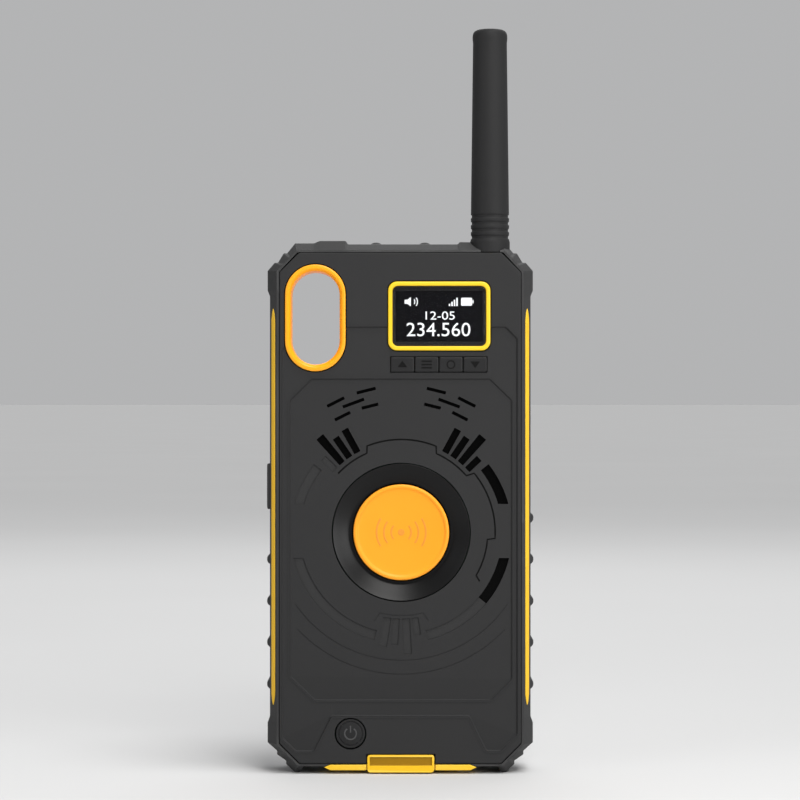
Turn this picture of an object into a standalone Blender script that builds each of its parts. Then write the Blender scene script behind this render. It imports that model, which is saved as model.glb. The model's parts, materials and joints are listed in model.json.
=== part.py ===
"""Two-way radio built as a rugged clip-on back-case for a phone.

Frame: +X to the right seen from the display side, +Z up, the display faces -Y and
the phone bay opens towards +Y.  Metres; the constants below are in millimetres.
"""
import bpy
import bmesh
import math
from mathutils import Vector, Matrix

MM = 0.001

# ---------------------------------------------------------------- driving dimensions (mm)
HALF_W = 39.3            # body half width between the corner lobes
LOBE_W = 40.0            # half width over the corner lobes
RIB = 0.9                # height of the side grip ribs
TOP_Z = 159.0            # top edge of the bumper
BOT_Z = 1.65             # bottom edge of the bumper between the lobes
FACE_Y = -10.5           # display face
BACK_Y = 10.8            # front lip of the phone bay
COVER_W = 36.3           # half width of the rear cover
COVER_Z = (2.9, 156.3)
WALL = 1.6
CAVITY_Y = -8.9
TRAY_Y = (0.3, 1.5)
BAY_W, BAY_Z = 35.75, (13.0, 157.2)
LIP_Y = 9.6
GAP = 0.3
DISC = (0.3, 72.3)       # centre of the push-to-talk disc
DISC_R = 14.4
DISH_R = 20.6
ANT = (27.1, -4.7)       # antenna axis x, y
ANT_Z = (156.6, 223.95)
CAM = (-25.5, 136.7)     # camera window centre
POWER = (-14.93, 11.93)
KEY_X = [0.65 + 7.28 * i for i in range(4)]
KEY_Z = 122.7
SPK = (0.3, 106.0)
SCREWS = [(-12.0, 151.6), (14.0, 151.6), (-32.6, 100.0), (32.6, 96.0), (-32.4, 18.0), (32.4, 18.0)]
RIBS_Z = (26.4, 39.0, 51.45, 64.05)

# ---------------------------------------------------------------- scene
for o in list(bpy.data.objects):
    bpy.data.objects.remove(o, do_unlink=True)
SCENE = bpy.context.scene
PARTS = bpy.data.collections.new("two_way_radio")
CUTTERS = bpy.data.collections.new("cutters")
SCENE.collection.children.link(PARTS)
SCENE.collection.children.link(CUTTERS)
MATS = {}


def material(name, rgb, rough, metal=0.0, alpha=1.0):
    if name not in MATS:
        m = bpy.data.materials.new(name)
        m.use_nodes = True
        b = m.node_tree.nodes["Principled BSDF"]
        b.inputs["Base Color"].default_value = (*rgb, 1.0)
        b.inputs["Roughness"].default_value = rough
        b.inputs["Metallic"].default_value = metal
        b.inputs["Alpha"].default_value = alpha
        MATS[name] = m
    return MATS[name]


COLOURS = {
    "shell": ((0.045, 0.045, 0.047), 0.55, 0.0), "rubber": ((0.06, 0.06, 0.062), 0.7, 0.0),
    "ring": ((0.95, 0.38, 0.02), 0.35, 0.0), "yellow": ((0.85, 0.55, 0.02), 0.45, 0.0),
    "gloss": ((0.01, 0.01, 0.01), 0.1, 0.0), "glass": ((0.02, 0.02, 0.025), 0.05, 0.0),
    "metal": ((0.75, 0.7, 0.55), 0.3, 1.0), "steel": ((0.6, 0.6, 0.62), 0.35, 1.0),
    "board": ((0.02, 0.12, 0.05), 0.5, 0.0), "foil": ((0.2, 0.22, 0.3), 0.4, 0.0),
    "plastic": ((0.03, 0.03, 0.03), 0.5, 0.0),
}


def mesh_object(name, bm, cutter=False):
    """Weld, face outwards and link a bmesh as a named object."""
    bmesh.ops.remove_doubles(bm, verts=bm.verts, dist=1e-6)
    bmesh.ops.recalc_face_normals(bm, faces=bm.faces)
    me = bpy.data.meshes.new(name)
    bm.to_mesh(me)
    bm.free()
    ob = bpy.data.objects.new(name, me)
    (CUTTERS if cutter else PARTS).objects.link(ob)
    if cutter:
        ob.hide_render = True
        ob.display_type = 'WIRE'
    return ob


def evaluated_bmesh(ob):
    """The evaluated mesh of an object in world space; the object is removed."""
    bpy.context.view_layer.update()
    dg = bpy.context.evaluated_depsgraph_get()
    me = bpy.data.meshes.new_from_object(ob.evaluated_get(dg))
    me.transform(ob.matrix_world)
    bm = bmesh.new()
    bm.from_mesh(me)
    bpy.data.meshes.remove(me)
    bpy.data.objects.remove(ob, do_unlink=True)
    return bm


def plate_bm(loops, y0, y1):
    """A flat outline with holes in the XZ plane, from y0 to y1."""
    cu = bpy.data.curves.new("outline", 'CURVE')
    cu.dimensions = '2D'
    cu.fill_mode = 'BOTH'
    cu.extrude = abs(y1 - y0) * MM / 2
    for loop in loops:
        sp = cu.splines.new('POLY')
        sp.points.add(len(loop) - 1)
        for p, (u, v) in zip(sp.points, loop):
            p.co = (u * MM, v * MM, 0, 1)
        sp.use_cyclic_u = True
    ob = bpy.data.objects.new("outline", cu)
    SCENE.collection.objects.link(ob)
    ob.matrix_world = Matrix.Translation((0, (y0 + y1) / 2 * MM, 0)) @ Matrix.Rotation(math.pi / 2, 4, 'X')
    bm = evaluated_bmesh(ob)
    bmesh.ops.remove_doubles(bm, verts=bm.verts, dist=1e-6)
    return bm


def plate(name, loops, y0, y1, cutter=False):
    return mesh_object(name, plate_bm(loops, y0, y1), cutter)


def loft_bm(sections):
    """Closed skin through outlines of equal length; a section is (y, [(x, z), ...])."""
    bm = bmesh.new()
    rings = [[bm.verts.new((x * MM, y * MM, z * MM)) for x, z in loop] for y, loop in sections]
    n = len(rings[0])
    for a, b in zip(rings, rings[1:]):
        for i in range(n):
            j = (i + 1) % n
            bm.faces.new((a[i], a[j], b[j], b[i]))
    for ring, (y, loop) in ((rings[0], sections[0]), (rings[-1], sections[-1])):
        cx = (min(p[0] for p in loop) + max(p[0] for p in loop)) / 2
        cz = (min(p[1] for p in loop) + max(p[1] for p in loop)) / 2
        mid = bm.verts.new((cx * MM, y * MM, cz * MM))
        for i in range(n):
            bm.faces.new((ring[i], ring[(i + 1) % n], mid))
    bmesh.ops.recalc_face_normals(bm, faces=bm.faces)
    return bm


def box_bm(x, y, z):
    bm = bmesh.new()
    bmesh.ops.create_cube(bm, size=1.0)
    s = Vector(((x[1] - x[0]) * MM, (y[1] - y[0]) * MM, (z[1] - z[0]) * MM))
    c = Vector(((x[0] + x[1]) / 2 * MM, (y[0] + y[1]) / 2 * MM, (z[0] + z[1]) / 2 * MM))
    bmesh.ops.transform(bm, matrix=Matrix.Translation(c) @ Matrix.Diagonal((*s, 1)), verts=bm.verts)
    return bm


def box(name, x, y, z, cutter=False):
    return mesh_object(name, box_bm(x, y, z), cutter)


def turned_bm(profile, steps, closed, place):
    """Screw modifier on a profile of (radius, height); `place` maps local Z to the axis."""
    me = bpy.data.meshes.new("profile")
    bm = bmesh.new()
    vs = [bm.verts.new((r * MM, 0, h * MM)) for r, h in profile]
    for a, b in zip(vs, vs[1:] + ([vs[0]] if closed else [])):
        if a is not b:
            bm.edges.new((a, b))
    bm.to_mesh(me)
    bm.free()
    ob = bpy.data.objects.new("profile", me)
    SCENE.collection.objects.link(ob)
    m = ob.modifiers.new("turn", 'SCREW')
    m.steps = m.render_steps = steps
    m.use_merge_vertices = True
    m.merge_threshold = 1e-6
    ob.matrix_world = place
    return evaluated_bmesh(ob)


def along_y(x, z):
    """Local Z points along world -Y, towards the user; heights are given as -y."""
    return Matrix.Translation((x * MM, 0, z * MM)) @ Matrix.Rotation(math.pi / 2, 4, 'X')


def upright(x, y):
    return Matrix.Translation((x * MM, y * MM, 0))


def turned_y(name, profile, centre, steps=32, closed=True, cutter=False):
    """Profile of (radius, y)."""
    return mesh_object(name, turned_bm([(r, -y) for r, y in profile], steps, closed, along_y(*centre)), cutter)


def turned_z(name, profile, centre, steps=24, closed=True, cutter=False):
    return mesh_object(name, turned_bm(profile, steps, closed, upright(*centre)), cutter)


def disc_loop(c, r, n=24, a0=0.0):
    return [(c[0] + r * math.cos(a0 + 2 * math.pi * i / n), c[1] + r * math.sin(a0 + 2 * math.pi * i / n)) for i in range(n)]


def stadium(c, w, h, n=12):
    r = w / 2
    top = [(c[0] + r * math.cos(math.pi * i / n), c[1] + h / 2 - r + r * math.sin(math.pi * i / n)) for i in range(n + 1)]
    bot = [(c[0] - r * math.cos(math.pi * i / n), c[1] - h / 2 + r - r * math.sin(math.pi * i / n)) for i in range(n + 1)]
    return top + bot


def rect(x0, x1, z0, z1, r=0.0, n=3):
    if r <= 0:
        return [(x0, z0), (x1, z0), (x1, z1), (x0, z1)]
    out = []
    for cx, cz, a in ((x1 - r, z0 + r, -90), (x1 - r, z1 - r, 0), (x0 + r, z1 - r, 90), (x0 + r, z0 + r, 180)):
        for i in range(n + 1):
            t = math.radians(a + 90 * i / n)
            out.append((cx + r * math.cos(t), cz + r * math.sin(t)))
    return out


def octagon(w, z0, z1, cb, ct):
    """Half width w, from z0 to z1, corner cuts cb at the bottom and ct at the top."""
    return [(-w + cb, z0), (w - cb, z0), (w, z0 + cb), (w, z1 - ct), (w - ct, z1), (-w + ct, z1), (-w, z1 - ct), (-w, z0 + cb)]


def cut(ob, *cutters, op='DIFFERENCE'):
    """Exact boolean with each cutter, applied in turn; cutters stay in their own collection."""
    for c in cutters:
        m = ob.modifiers.new("cut", 'BOOLEAN')
        m.operation = op
        m.solver = 'EXACT'
        m.object = c
    return ob


def joined(name, bms):
    """Separate cutter bodies held in one cutter object."""
    out = bmesh.new()
    for bm in bms:
        me = bpy.data.meshes.new("tmp")
        bmesh.ops.recalc_face_normals(bm, faces=bm.faces)
        bm.to_mesh(me)
        out.from_mesh(me)
        bpy.data.meshes.remove(me)
        bm.free()
    me = bpy.data.meshes.new(name)
    out.to_mesh(me)
    out.free()
    ob = bpy.data.objects.new(name, me)
    CUTTERS.objects.link(ob)
    ob.hide_render = True
    ob.display_type = 'WIRE'
    return ob


def finish(ob, colour, origin=None):
    """Give the piece its own material and set its origin on its joint's axis."""
    rgb, rough, metal = COLOURS[colour]
    ob.data.materials.clear()
    ob.data.materials.append(material(ob.name + "_" + colour, rgb, rough, metal))
    if origin is not None:
        o = Vector(origin) * MM
        ob.data.transform(Matrix.Translation(-o))
        ob.location = o
    return ob


# ---------------------------------------------------------------- bumper frame
RIM = [(-30.6, 2.2), (30.6, 2.2), (37.1, 8.7), (37.1, 150.7), (31.2, 157.0), (-31.2, 157.0), (-37.1, 150.7), (-37.1, 8.7)]


def nearest(p, poly):
    best = None
    for a, b in zip(poly, poly[1:] + poly[:1]):
        ax, az = a
        dx, dz = b[0] - ax, b[1] - az
        t = max(0.0, min(1.0, ((p[0] - ax) * dx + (p[1] - az) * dz) / (dx * dx + dz * dz)))
        q = (ax + t * dx, az + t * dz)
        d = (q[0] - p[0]) ** 2 + (q[1] - p[1]) ** 2
        if best is None or d < best[0]:
            best = (d, q)
    return best[1]


def teeth(a, b, ra, rb, shape):
    """Armour steps along a corner chamfer from a to b; ra-rb is the matching rim run."""
    dx, dz = b[0] - a[0], b[1] - a[1]
    ln = math.hypot(dx, dz)
    nx, nz = dz / ln, -dx / ln
    return [((a[0] + t * dx + h * nx, a[1] + t * dz + h * nz), (ra[0] + t * (rb[0] - ra[0]), ra[1] + t * (rb[1] - ra[1])), (0, 0)) for t, h in shape]


SAW = ((0.0, 0.0), (0.28, 0.25), (0.34, -0.4), (0.62, 0.3), (0.68, -0.4), (1.0, 0.0))


def right_side(ribs, top):
    """Outline of one side, bottom centre to top centre: (outer point, rim point, rib offset)."""
    out = []

    def add(x, z, rib=(0, 0), rim=None):
        out.append(((x, z), rim or nearest((x, z), RIM), rib))
    add(28.9, BOT_Z)
    add(30.4, 0.0, rim=(30.2, 2.2))
    out.extend(teeth((32.0, 0.0), (LOBE_W, 8.85), (30.6, 2.2), (37.1, 8.7), SAW))
    add(LOBE_W, 14.85)
    add(HALF_W, 16.8)
    for zc in ribs:
        add(HALF_W, zc - 1.35)
        add(HALF_W, zc - 0.75, (RIB, 0))
        add(HALF_W, zc + 0.75, (RIB, 0))
        add(HALF_W, zc + 1.35)
    add(HALF_W, 143.3)
    add(LOBE_W, 145.05)
    out.extend(teeth((LOBE_W, 150.9), (31.7, 159.3), (37.1, 150.7), (31.2, 157.0), SAW))
    for x, z, r in top:
        add(x, z, (0, r))
    return out


def mirror(pts):
    return [((-p[0][0], p[0][1]), (-p[1][0], p[1][1]), (-p[2][0], p[2][1])) for p in reversed(pts)]


def top_rib(xc):
    return [(xc + 1.5, TOP_Z, 0), (xc + 0.7, TOP_Z, 0.6), (xc - 0.7, TOP_Z, 0.6), (xc - 1.5, TOP_Z, 0)]


RIGHT = right_side(RIBS_Z + (76.5,), [(17.9, 159.75, 0), (17.3, TOP_Z, 0)] + top_rib(7.4))
LEFT = mirror(right_side(RIBS_Z, [(25.9, 159.3, 0), (24.1, 160.05, 0), (16.6, 160.05, 0), (15.8, TOP_Z, 0)] + top_rib(7.3)))
OUTLINE = RIGHT + LEFT


def outline(rim=0.0, rib=0.0):
    return [(p[0] + rim * (q[0] - p[0]) + rib * r[0], p[1] + rim * (q[1] - p[1]) + rib * r[1]) for p, q, r in OUTLINE]


bumper = mesh_object("bumper_frame", loft_bm([
    (-10.3, outline(rim=1.0)), (-6.6, outline()), (-5.6, outline(rib=1.0)),
    (7.6, outline(rib=1.0)), (8.8, outline()), (BACK_Y, outline(rim=0.42))]))

POCKET = [(-30.4, 2.6), (30.4, 2.6), (36.6, 8.8), (36.6, 150.5), (30.9, 156.6), (-30.9, 156.6), (-36.6, 150.5), (-36.6, 8.8)]
BAY = rect(-BAY_W, BAY_W, 2.9, BAY_Z[1], 5.5, 3)
LIP = rect(-34.3, 34.3, 14.2, 155.8, 4.5, 3)
cut(bumper,
    joined("frame_pocket", [plate_bm([POCKET], -12.0, 1.8)]),
    joined("frame_bay", [plate_bm([BAY], 1.7, LIP_Y)]),
    joined("frame_lip", [plate_bm([LIP], 9.5, 12.0)]))

# side key slots, port strip, antenna notch and stripe grooves in the frame
TALK = ((-40.2, -34.9), (-6.2, -1.2), (79.1, 92.9))
SIDE_KEY = ((-39.75, -36.2), (3.4, 7.4), (103.4, 122.5))
VOL_DOWN = ((36.2, 39.75), (3.4, 7.4), (100.5, 113.4))
VOL_UP = ((36.2, 39.75), (3.4, 7.4), (113.8, 126.75))
STRIPE_Z = (20.25, 139.65)
SLOPE = math.atan2(3.7, 2.2)       # chamfer angle from the X axis


def grown(b, g, x=None):
    return [x or (b[0][0] - g, b[0][1] + g), (b[1][0] - g, b[1][1] + g), (b[2][0] - g, b[2][1] + g)]


def stripe_bm(side, g, depth):
    """A long strip with pointed ends lying on the chamfer; g grows its outline."""
    z0, z1 = STRIPE_Z
    w = 1.05 + g
    loop = [(-w, z0 + 3), (0, z0 - g), (w, z0 + 3), (w, z1 - 3), (0, z1 + g), (-w, z1 - 3)]
    bm = plate_bm([loop], -depth[0], depth[1])
    a = math.atan2(2.2, 3.7)
    m = Matrix.Translation((side * 38.15 * MM, -8.5 * MM, 0)) @ Matrix.Rotation(side * (math.pi / 2 - a), 4, 'Z')
    bmesh.ops.transform(bm, matrix=m, verts=bm.verts)
    return bm


cut(bumper,
    joined("frame_slots", [
        box_bm(*grown(TALK, 0.3, (-42, -34))), box_bm(*grown(SIDE_KEY, 0.3, (-42, -35))),
        box_bm((35, 42), (3.1, 7.7), (100.2, 127.05)),
        box_bm((-23.2, 23.2), (-12, 2.1), (-1, 2.9)),
    ]),
    turned_z("frame_antenna_notch", [(0, 162), (6.3, 162), (6.3, 155.0), (0, 155.0)], ANT, 24, False, True),
    joined("frame_grooves", [stripe_bm(-1, 0.3, (2, 1.2)), stripe_bm(1, 0.3, (2, 1.2))]))
finish(bumper, "rubber")
for side, nm in ((-1, "side_stripe_left"), (1, "side_stripe_right")):
    finish(mesh_object(nm, stripe_bm(side, 0.0, (0.25, 0.85))), "yellow")

# ---------------------------------------------------------------- rear cover
COVER = octagon(COVER_W, COVER_Z[0], COVER_Z[1], 6.15, 5.95)
COVER_IN = octagon(COVER_W - WALL, 6.5, COVER_Z[1] - WALL, 3.4, 5.4)
COVER_EDGE = octagon(COVER_W - 0.3, COVER_Z[0] + 0.3, COVER_Z[1] - 0.3, 6.1, 5.9)
cover = mesh_object("rear_cover", loft_bm([(FACE_Y, COVER_EDGE), (FACE_Y + 0.3, COVER), (-0.9, COVER)]))
LOWER_FACE = [(-35.2, 127.6), (-27, 127.6), (-20, 133.65), (31.5, 133.65), (34.8, 130.3), (34.8, 11.9), (29.9, 7.0),
              (25.9, 7.0), (20.8, 17.5), (-20.9, 17.5), (-26.2, 6.9), (-31.3, 6.9), (-35.2, 10.8)]
PANEL = [(-25.6, 22.2), (27.0, 22.2), (33.2, 28.4), (33.2, 111.8), (26.8, 118.05), (-26.5, 118.05), (-32.8, 111.8), (-32.8, 29.2)]
cut(cover, joined("cover_cavity", [plate_bm([COVER_IN], CAVITY_Y, 2.0)]))
posts = []
for i, (x, z) in enumerate(SCREWS):
    r = 1.9
    posts.append(plate_bm([disc_loop((x, z), r, 12)], -9.6, 0.0))
cut(cover, joined("cover_posts", posts), op='UNION')
cut(cover, joined("cover_pilot_holes", [plate_bm([disc_loop(p, 1.0, 8)], -5.2, 2.0) for p in SCREWS]))
cut(cover, joined("cover_lower_face", [plate_bm([LOWER_FACE], -12, FACE_Y + 0.4)]))
cut(cover, joined("cover_panel", [plate_bm([PANEL], -12, FACE_Y + 0.7)]))


def polar(c, r, a):
    return (c[0] + r * math.cos(math.radians(a)), c[1] + r * math.sin(math.radians(a)))


def bar(c, a, r0, r1, w0, w1=None):
    """A radial slot at angle a."""
    w1 = w1 or w0
    t = (-math.sin(math.radians(a)), math.cos(math.radians(a)))
    p, q = polar(c, r0, a), polar(c, r1, a)
    return [(p[0] - t[0] * w0 / 2, p[1] - t[1] * w0 / 2), (q[0] - t[0] * w1 / 2, q[1] - t[1] * w1 / 2),
            (q[0] + t[0] * w1 / 2, q[1] + t[1] * w1 / 2), (p[0] + t[0] * w0 / 2, p[1] + t[1] * w0 / 2)]


def dash(c, a, r, ln, th=0.96):
    """A tangential slot."""
    t = (-math.sin(math.radians(a)), math.cos(math.radians(a)))
    p, q = polar(c, r - th / 2, a), polar(c, r + th / 2, a)
    return [(p[0] - t[0] * ln / 2, p[1] - t[1] * ln / 2), (q[0] - t[0] * ln / 2, q[1] - t[1] * ln / 2),
            (q[0] + t[0] * ln / 2, q[1] + t[1] * ln / 2), (p[0] + t[0] * ln / 2, p[1] + t[1] * ln / 2)]


def arc_slot(c, r0, r1, a0, a1, flat=0, n=8):
    """An annular slot; flat=1 cuts the first end level, flat=2 the last end."""
    def ang(r, end):
        a = a0 if end == 0 else a1
        if flat == end + 1:
            z = (r0 + r1) / 2 * math.sin(math.radians(a))
            b = math.degrees(math.asin(z / r))
            a = b if abs(a) < 90 else math.copysign(180, a) - b
        return a
    inner, outer = (ang(r0, 0), ang(r0, 1)), (ang(r1, 0), ang(r1, 1))
    return [polar(c, r1, outer[0] + (outer[1] - outer[0]) * i / n) for i in range(n + 1)] + \
           [polar(c, r0, inner[1] + (inner[0] - inner[1]) * i / n) for i in range(n + 1)]


TOP_BARS = ((61.2, 35.3, 2.2, 2.1), (55.3, 34.6, 2.15, 2.1), (49.5, 37.7, 2.7, 2.05), (43.5, 32.3, 2.15, 2.0))
BOTTOM_BARS = ((-99.2, 34.7, 2.5), (-93.4, 33.8, 2.2), (-86.9, 36.6, 2.5), (-81.0, 31.2, 2.2))
DASHES = ((13.9, 43.85, 5.9), (26.7, 43.8, 5.8), (20.3, 41.4, 6.85), (13.9, 39.05, 5.15), (26.8, 39.1, 5.2))


def speaker_slots():
    """The open slots in front of the speaker, at the top and on the right."""
    out = []
    for a, r, w1, w0 in TOP_BARS:
        out.append(bar(DISC, a, 27.3, r, w0, w1))
        if a > 45:
            out.append(bar(DISC, 180 - a, 27.3, r, w0, w1))
    for a, r, ln in DASHES:
        out += [dash(DISC, 90 - a, r, ln), dash(DISC, 90 + a, r, ln)]
    out += [arc_slot(DISC, 30.3, 33.3, 15.5, 38, 1), arc_slot(DISC, 30.3, 33.3, -40, -14, 2)]
    return out


def blind_slots():
    """The same pattern carried on at the left and the bottom as shallow closed grooves."""
    out = [bar(DISC, a, 25.9, r, w) for a, r, w in BOTTOM_BARS]
    out += [bar(DISC, 180 - a, 27.3, r, w0, w1) for a, r, w1, w0 in TOP_BARS if a < 45]
    out += [arc_slot(DISC, 30.3, 33.3, 142, 164.5, 2), arc_slot(DISC, 30.3, 33.3, -76, -39.6, 0, 12),
            arc_slot(DISC, 30.3, 33.3, -166, -104, 1, 14)]
    return out


cut(cover, joined("cover_speaker_slots", [plate_bm([s], -12, -8.0) for s in speaker_slots()]))
cut(cover, joined("cover_blind_slots", [plate_bm([s], -12, FACE_Y + 1.05) for s in blind_slots()]))
KEY_W, KEY_H = 6.9, 4.4
holes = [plate_bm([stadium(CAM, 18.8, 32.7, 10)], -12, -8.0),
         plate_bm([rect(-3.95, 27.35, 126.6, 147.9, 2.8)], -12, -8.0),
         plate_bm([rect(KEY_X[0] - KEY_W / 2 - 0.25, KEY_X[3] + KEY_W / 2 + 0.25, KEY_Z - KEY_H / 2 - 0.25, KEY_Z + KEY_H / 2 + 0.25)], -12, -8.0),
         plate_bm([disc_loop(DISC, DISH_R + 0.3, 36)], -12, -8.0),
         plate_bm([disc_loop(POWER, 4.85, 20)], -12, -8.0),
         box_bm((-10.3, 10.6), (-12, -9.3), (0, 5.9)),
         box_bm((-5.5, 5.5), (-4.5, -0.7), (0, 8.0)),
         box_bm(*grown(TALK, 0.3, (-38, -34)))]
cut(cover, joined("cover_openings", holes),
    turned_z("cover_jack_hole", [(0, 158), (3.4, 158), (3.4, 153), (0, 153)], ANT, 12, False, True))
finish(cover, "shell")

# ---------------------------------------------------------------- phone tray with hollow chin
TRAY = octagon(COVER_W, COVER_Z[0], COVER_Z[1], 6.15, 5.95)
tray = mesh_object("phone_tray", plate_bm([TRAY], *TRAY_Y))
cut(tray, joined("tray_chin", [box_bm((-35.2, 35.2), (1.2, 9.1), (9.2, 12.7)), ]), op='UNION')
cut(tray, joined("tray_chin_low", [box_bm((-29.5, 29.5), (1.2, 9.1), (3.3, 9.4))]), op='UNION')
cut(tray, joined("tray_pad", [plate_bm([octagon(30.0, 16.0, 149.0, 3.0, 3.0)], 1.0, 1.8)]), op='UNION')
cut(tray, joined("tray_chin_hollow", [box_bm((-27.8, 27.8), (-1, 7.8), (4.9, 11.3))]))
cut(tray, joined("tray_window", [plate_bm([stadium(CAM, 17.2, 30.7, 10)], -1, 3)] +
                 [plate_bm([disc_loop(p, 2.0, 12)], 0.7, 3) for p in SCREWS]))
cut(tray, joined("tray_screw_holes", [plate_bm([disc_loop(p, 1.0, 8)], -1, 0.9) for p in SCREWS]))
finish(tray, "shell")
GASKET_OUT = octagon(COVER_W - 0.2, COVER_Z[0] + 0.2, COVER_Z[1] - 0.2, 6.1, 5.9)
GASKET_IN = octagon(COVER_W - 1.3, COVER_Z[0] + 1.3, COVER_Z[1] - 1.3, 5.7, 5.5)
finish(plate("seal_gasket", [GASKET_OUT, GASKET_IN], -0.6, 0.0), "rubber")
for i, (x, z) in enumerate(SCREWS):
    finish(turned_y("case_screw_%d" % (i + 1), [(0, -4.6), (0.7, -4.6), (0.7, 0.75), (1.7, 1.05), (1.7, 1.4), (0, 1.4)], (x, z), 10, False), "steel")

# ---------------------------------------------------------------- camera ring
ring = plate("camera_ring", [stadium(CAM, 18.2, 32.1, 12), stadium(CAM, 14.55, 28.0, 12)], -10.8, -8.6)
cut(ring, joined("ring_tube", [plate_bm([stadium(CAM, 16.6, 30.1, 12), stadium(CAM, 14.5, 27.95, 12)], -8.9, 1.2)]), op='UNION')
finish(ring, "ring")

# ---------------------------------------------------------------- display and keys
finish(plate("display_bezel", [rect(-3.65, 27.05, 126.9, 147.6, 2.7), rect(-2.35, 25.75, 128.2, 146.3, 1.7)], -10.8, -9.5), "yellow")
finish(plate("display_window", [rect(-2.05, 25.45, 128.5, 146.0, 1.4)], -10.5, -9.6), "glass")
finish(plate("display_gasket", [rect(-3.2, 26.6, 127.4, 147.1, 2.2), rect(-1.4, 24.8, 129.6, 144.9)], -9.2, -8.75), "rubber")
finish(box("display_module", (-2.8, 26.2), (-8.45, -6.6), (127.9, 146.6)), "glass")
finish(plate("display_board", [rect(-4.6, 29.0, 118.8, 148.6)], -6.3, -5.5), "board")
for i, nm in enumerate(("up", "menu", "mode", "down")):
    x = KEY_X[i]
    k = mesh_object("key_" + nm, loft_bm([(-10.6, rect(x - 3.2, x + 3.2, KEY_Z - 1.95, KEY_Z + 1.95)),
                                          (-10.35, rect(x - 3.45, x + 3.45, KEY_Z - 2.2, KEY_Z + 2.2)),
                                          (-8.75, rect(x - 3.45, x + 3.45, KEY_Z - 2.2, KEY_Z + 2.2))]))
    finish(k, "shell", (x, -9.7, KEY_Z))
    finish(box("key_switch_%d" % (i + 1), (x - 2.2, x + 2.2), (-7.45, -6.6), (KEY_Z - 1.7, KEY_Z + 1.7)), "plastic")
finish(plate("keypad_membrane", [rect(-3.6, 27.1, 119.7, 125.6)], -8.15, -7.75), "rubber")

# ---------------------------------------------------------------- push-to-talk disc
finish(turned_y("ptt_recess", [(20.6, -9.7), (19.9, -9.7), (15.5, -6.2), (14.75, -6.2), (14.75, -5.0), (16.6, -5.0), (20.6, -8.6)], DISC, 36), "gloss")
finish(turned_y("ptt_button", [(0, -9.2), (12.6, -9.5), (13.6, -10.0), (14.4, -9.6), (14.4, -4.7), (15.8, -4.7), (15.8, -4.1), (13.2, -4.1),
                               (13.2, -8.0), (3.0, -8.0), (3.0, -4.7), (0, -4.7)], DISC, 36, False), "ring", (DISC[0], -7.0, DISC[1]))
cu = bpy.data.curves.new("ptt_spring", 'CURVE')
cu.dimensions = '3D'
cu.bevel_depth = 0.3 * MM
cu.bevel_resolution = 1
cu.use_fill_caps = True
sp = cu.splines.new('POLY')
TURNS, PER = 3.5, 12
N = int(TURNS * PER) + 1
sp.points.add(N - 1)
for i, p in enumerate(sp.points):
    t = i / (N - 1)
    a = 2 * math.pi * TURNS * t
    p.co = ((DISC[0] + 6.0 * math.cos(a)) * MM, (-7.3 + 5.2 * t) * MM, (DISC[1] + 6.0 * math.sin(a)) * MM, 1)
spring = bpy.data.objects.new("ptt_spring_curve", cu)
SCENE.collection.objects.link(spring)
finish(mesh_object("ptt_spring", evaluated_bmesh(spring)), "steel")
finish(box("ptt_switch", (DISC[0] - 3, DISC[0] + 3), (-2.9, -1.7), (DISC[1] - 3, DISC[1] + 3)), "plastic")

# ---------------------------------------------------------------- speaker and grille
GRILLE = octagon(30.3, 20.0, 118.4, 8.0, 6.0)
vents = [disc_loop((SPK[0] + x, SPK[1] + z), 1.4, 8) for x, z in ((0, 0), (6, 4), (-6, 4), (6, -5), (-6, -5), (0, 8))]
finish(plate("grille_plate", [GRILLE, disc_loop(DISC, 20.9, 36)] + vents, -8.6, -8.0), "gloss")
finish(turned_y("speaker_frame", [(12.5, -7.7), (12.5, -5.4), (7.2, -4.4), (6.3, -4.4), (6.3, -5.2), (7.0, -5.2), (11.4, -6.1), (11.4, -7.7)][::-1], SPK, 24), "steel")
finish(turned_y("speaker_cone", [(0, -6.6), (3.0, -6.6), (11.1, -7.6), (11.1, -7.3), (3.0, -6.25), (0, -6.25)], SPK, 24, False), "plastic")
finish(turned_y("speaker_magnet", [(0, -5.8), (6.0, -5.8), (6.0, -2.3), (0, -2.3)], SPK, 20, False), "steel")

# ---------------------------------------------------------------- electronics
BOARD = [(-30.2, 52.5), (30.2, 52.5), (30.2, 149.0), (-16.4, 149.0), (-16.4, 118.0), (-30.2, 118.0)]
finish(plate("main_board", [BOARD], -1.4, -0.5), "board")
shield = box("rf_shield", (3.0, 27.0), (-4.9, -1.7), (121.0, 146.0))
cut(shield, joined("shield_hollow", [box_bm((3.4, 26.6), (-4.5, -1.0), (121.4, 145.6))]))
finish(shield, "steel")
finish(plate("battery_cell", [rect(-27.5, 27.5, 18.6, 50.2, 1.5, 2)], -6.9, -0.4), "foil")
finish(box("battery_pad", (-24, 24), (-7.7, -7.2), (21.5, 47.5)), "rubber")
finish(box("charge_board", (-21, 21), (-5.4, -4.8), (7.2, 17.0)), "board")
finish(box("charge_socket", (-4.6, 4.6), (-4.2, -1.0), (3.9, 14.0)), "steel")
finish(turned_z("microphone", [(0, 10.9), (2.0, 10.9), (2.0, 7.4), (0, 7.4)], (16.0, 4.4), 12, False), "metal")
finish(box("side_talk_switch", (-34.3, -31.2), (-5.2, -1.8), (83.5, 88.5)), "plastic")

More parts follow.
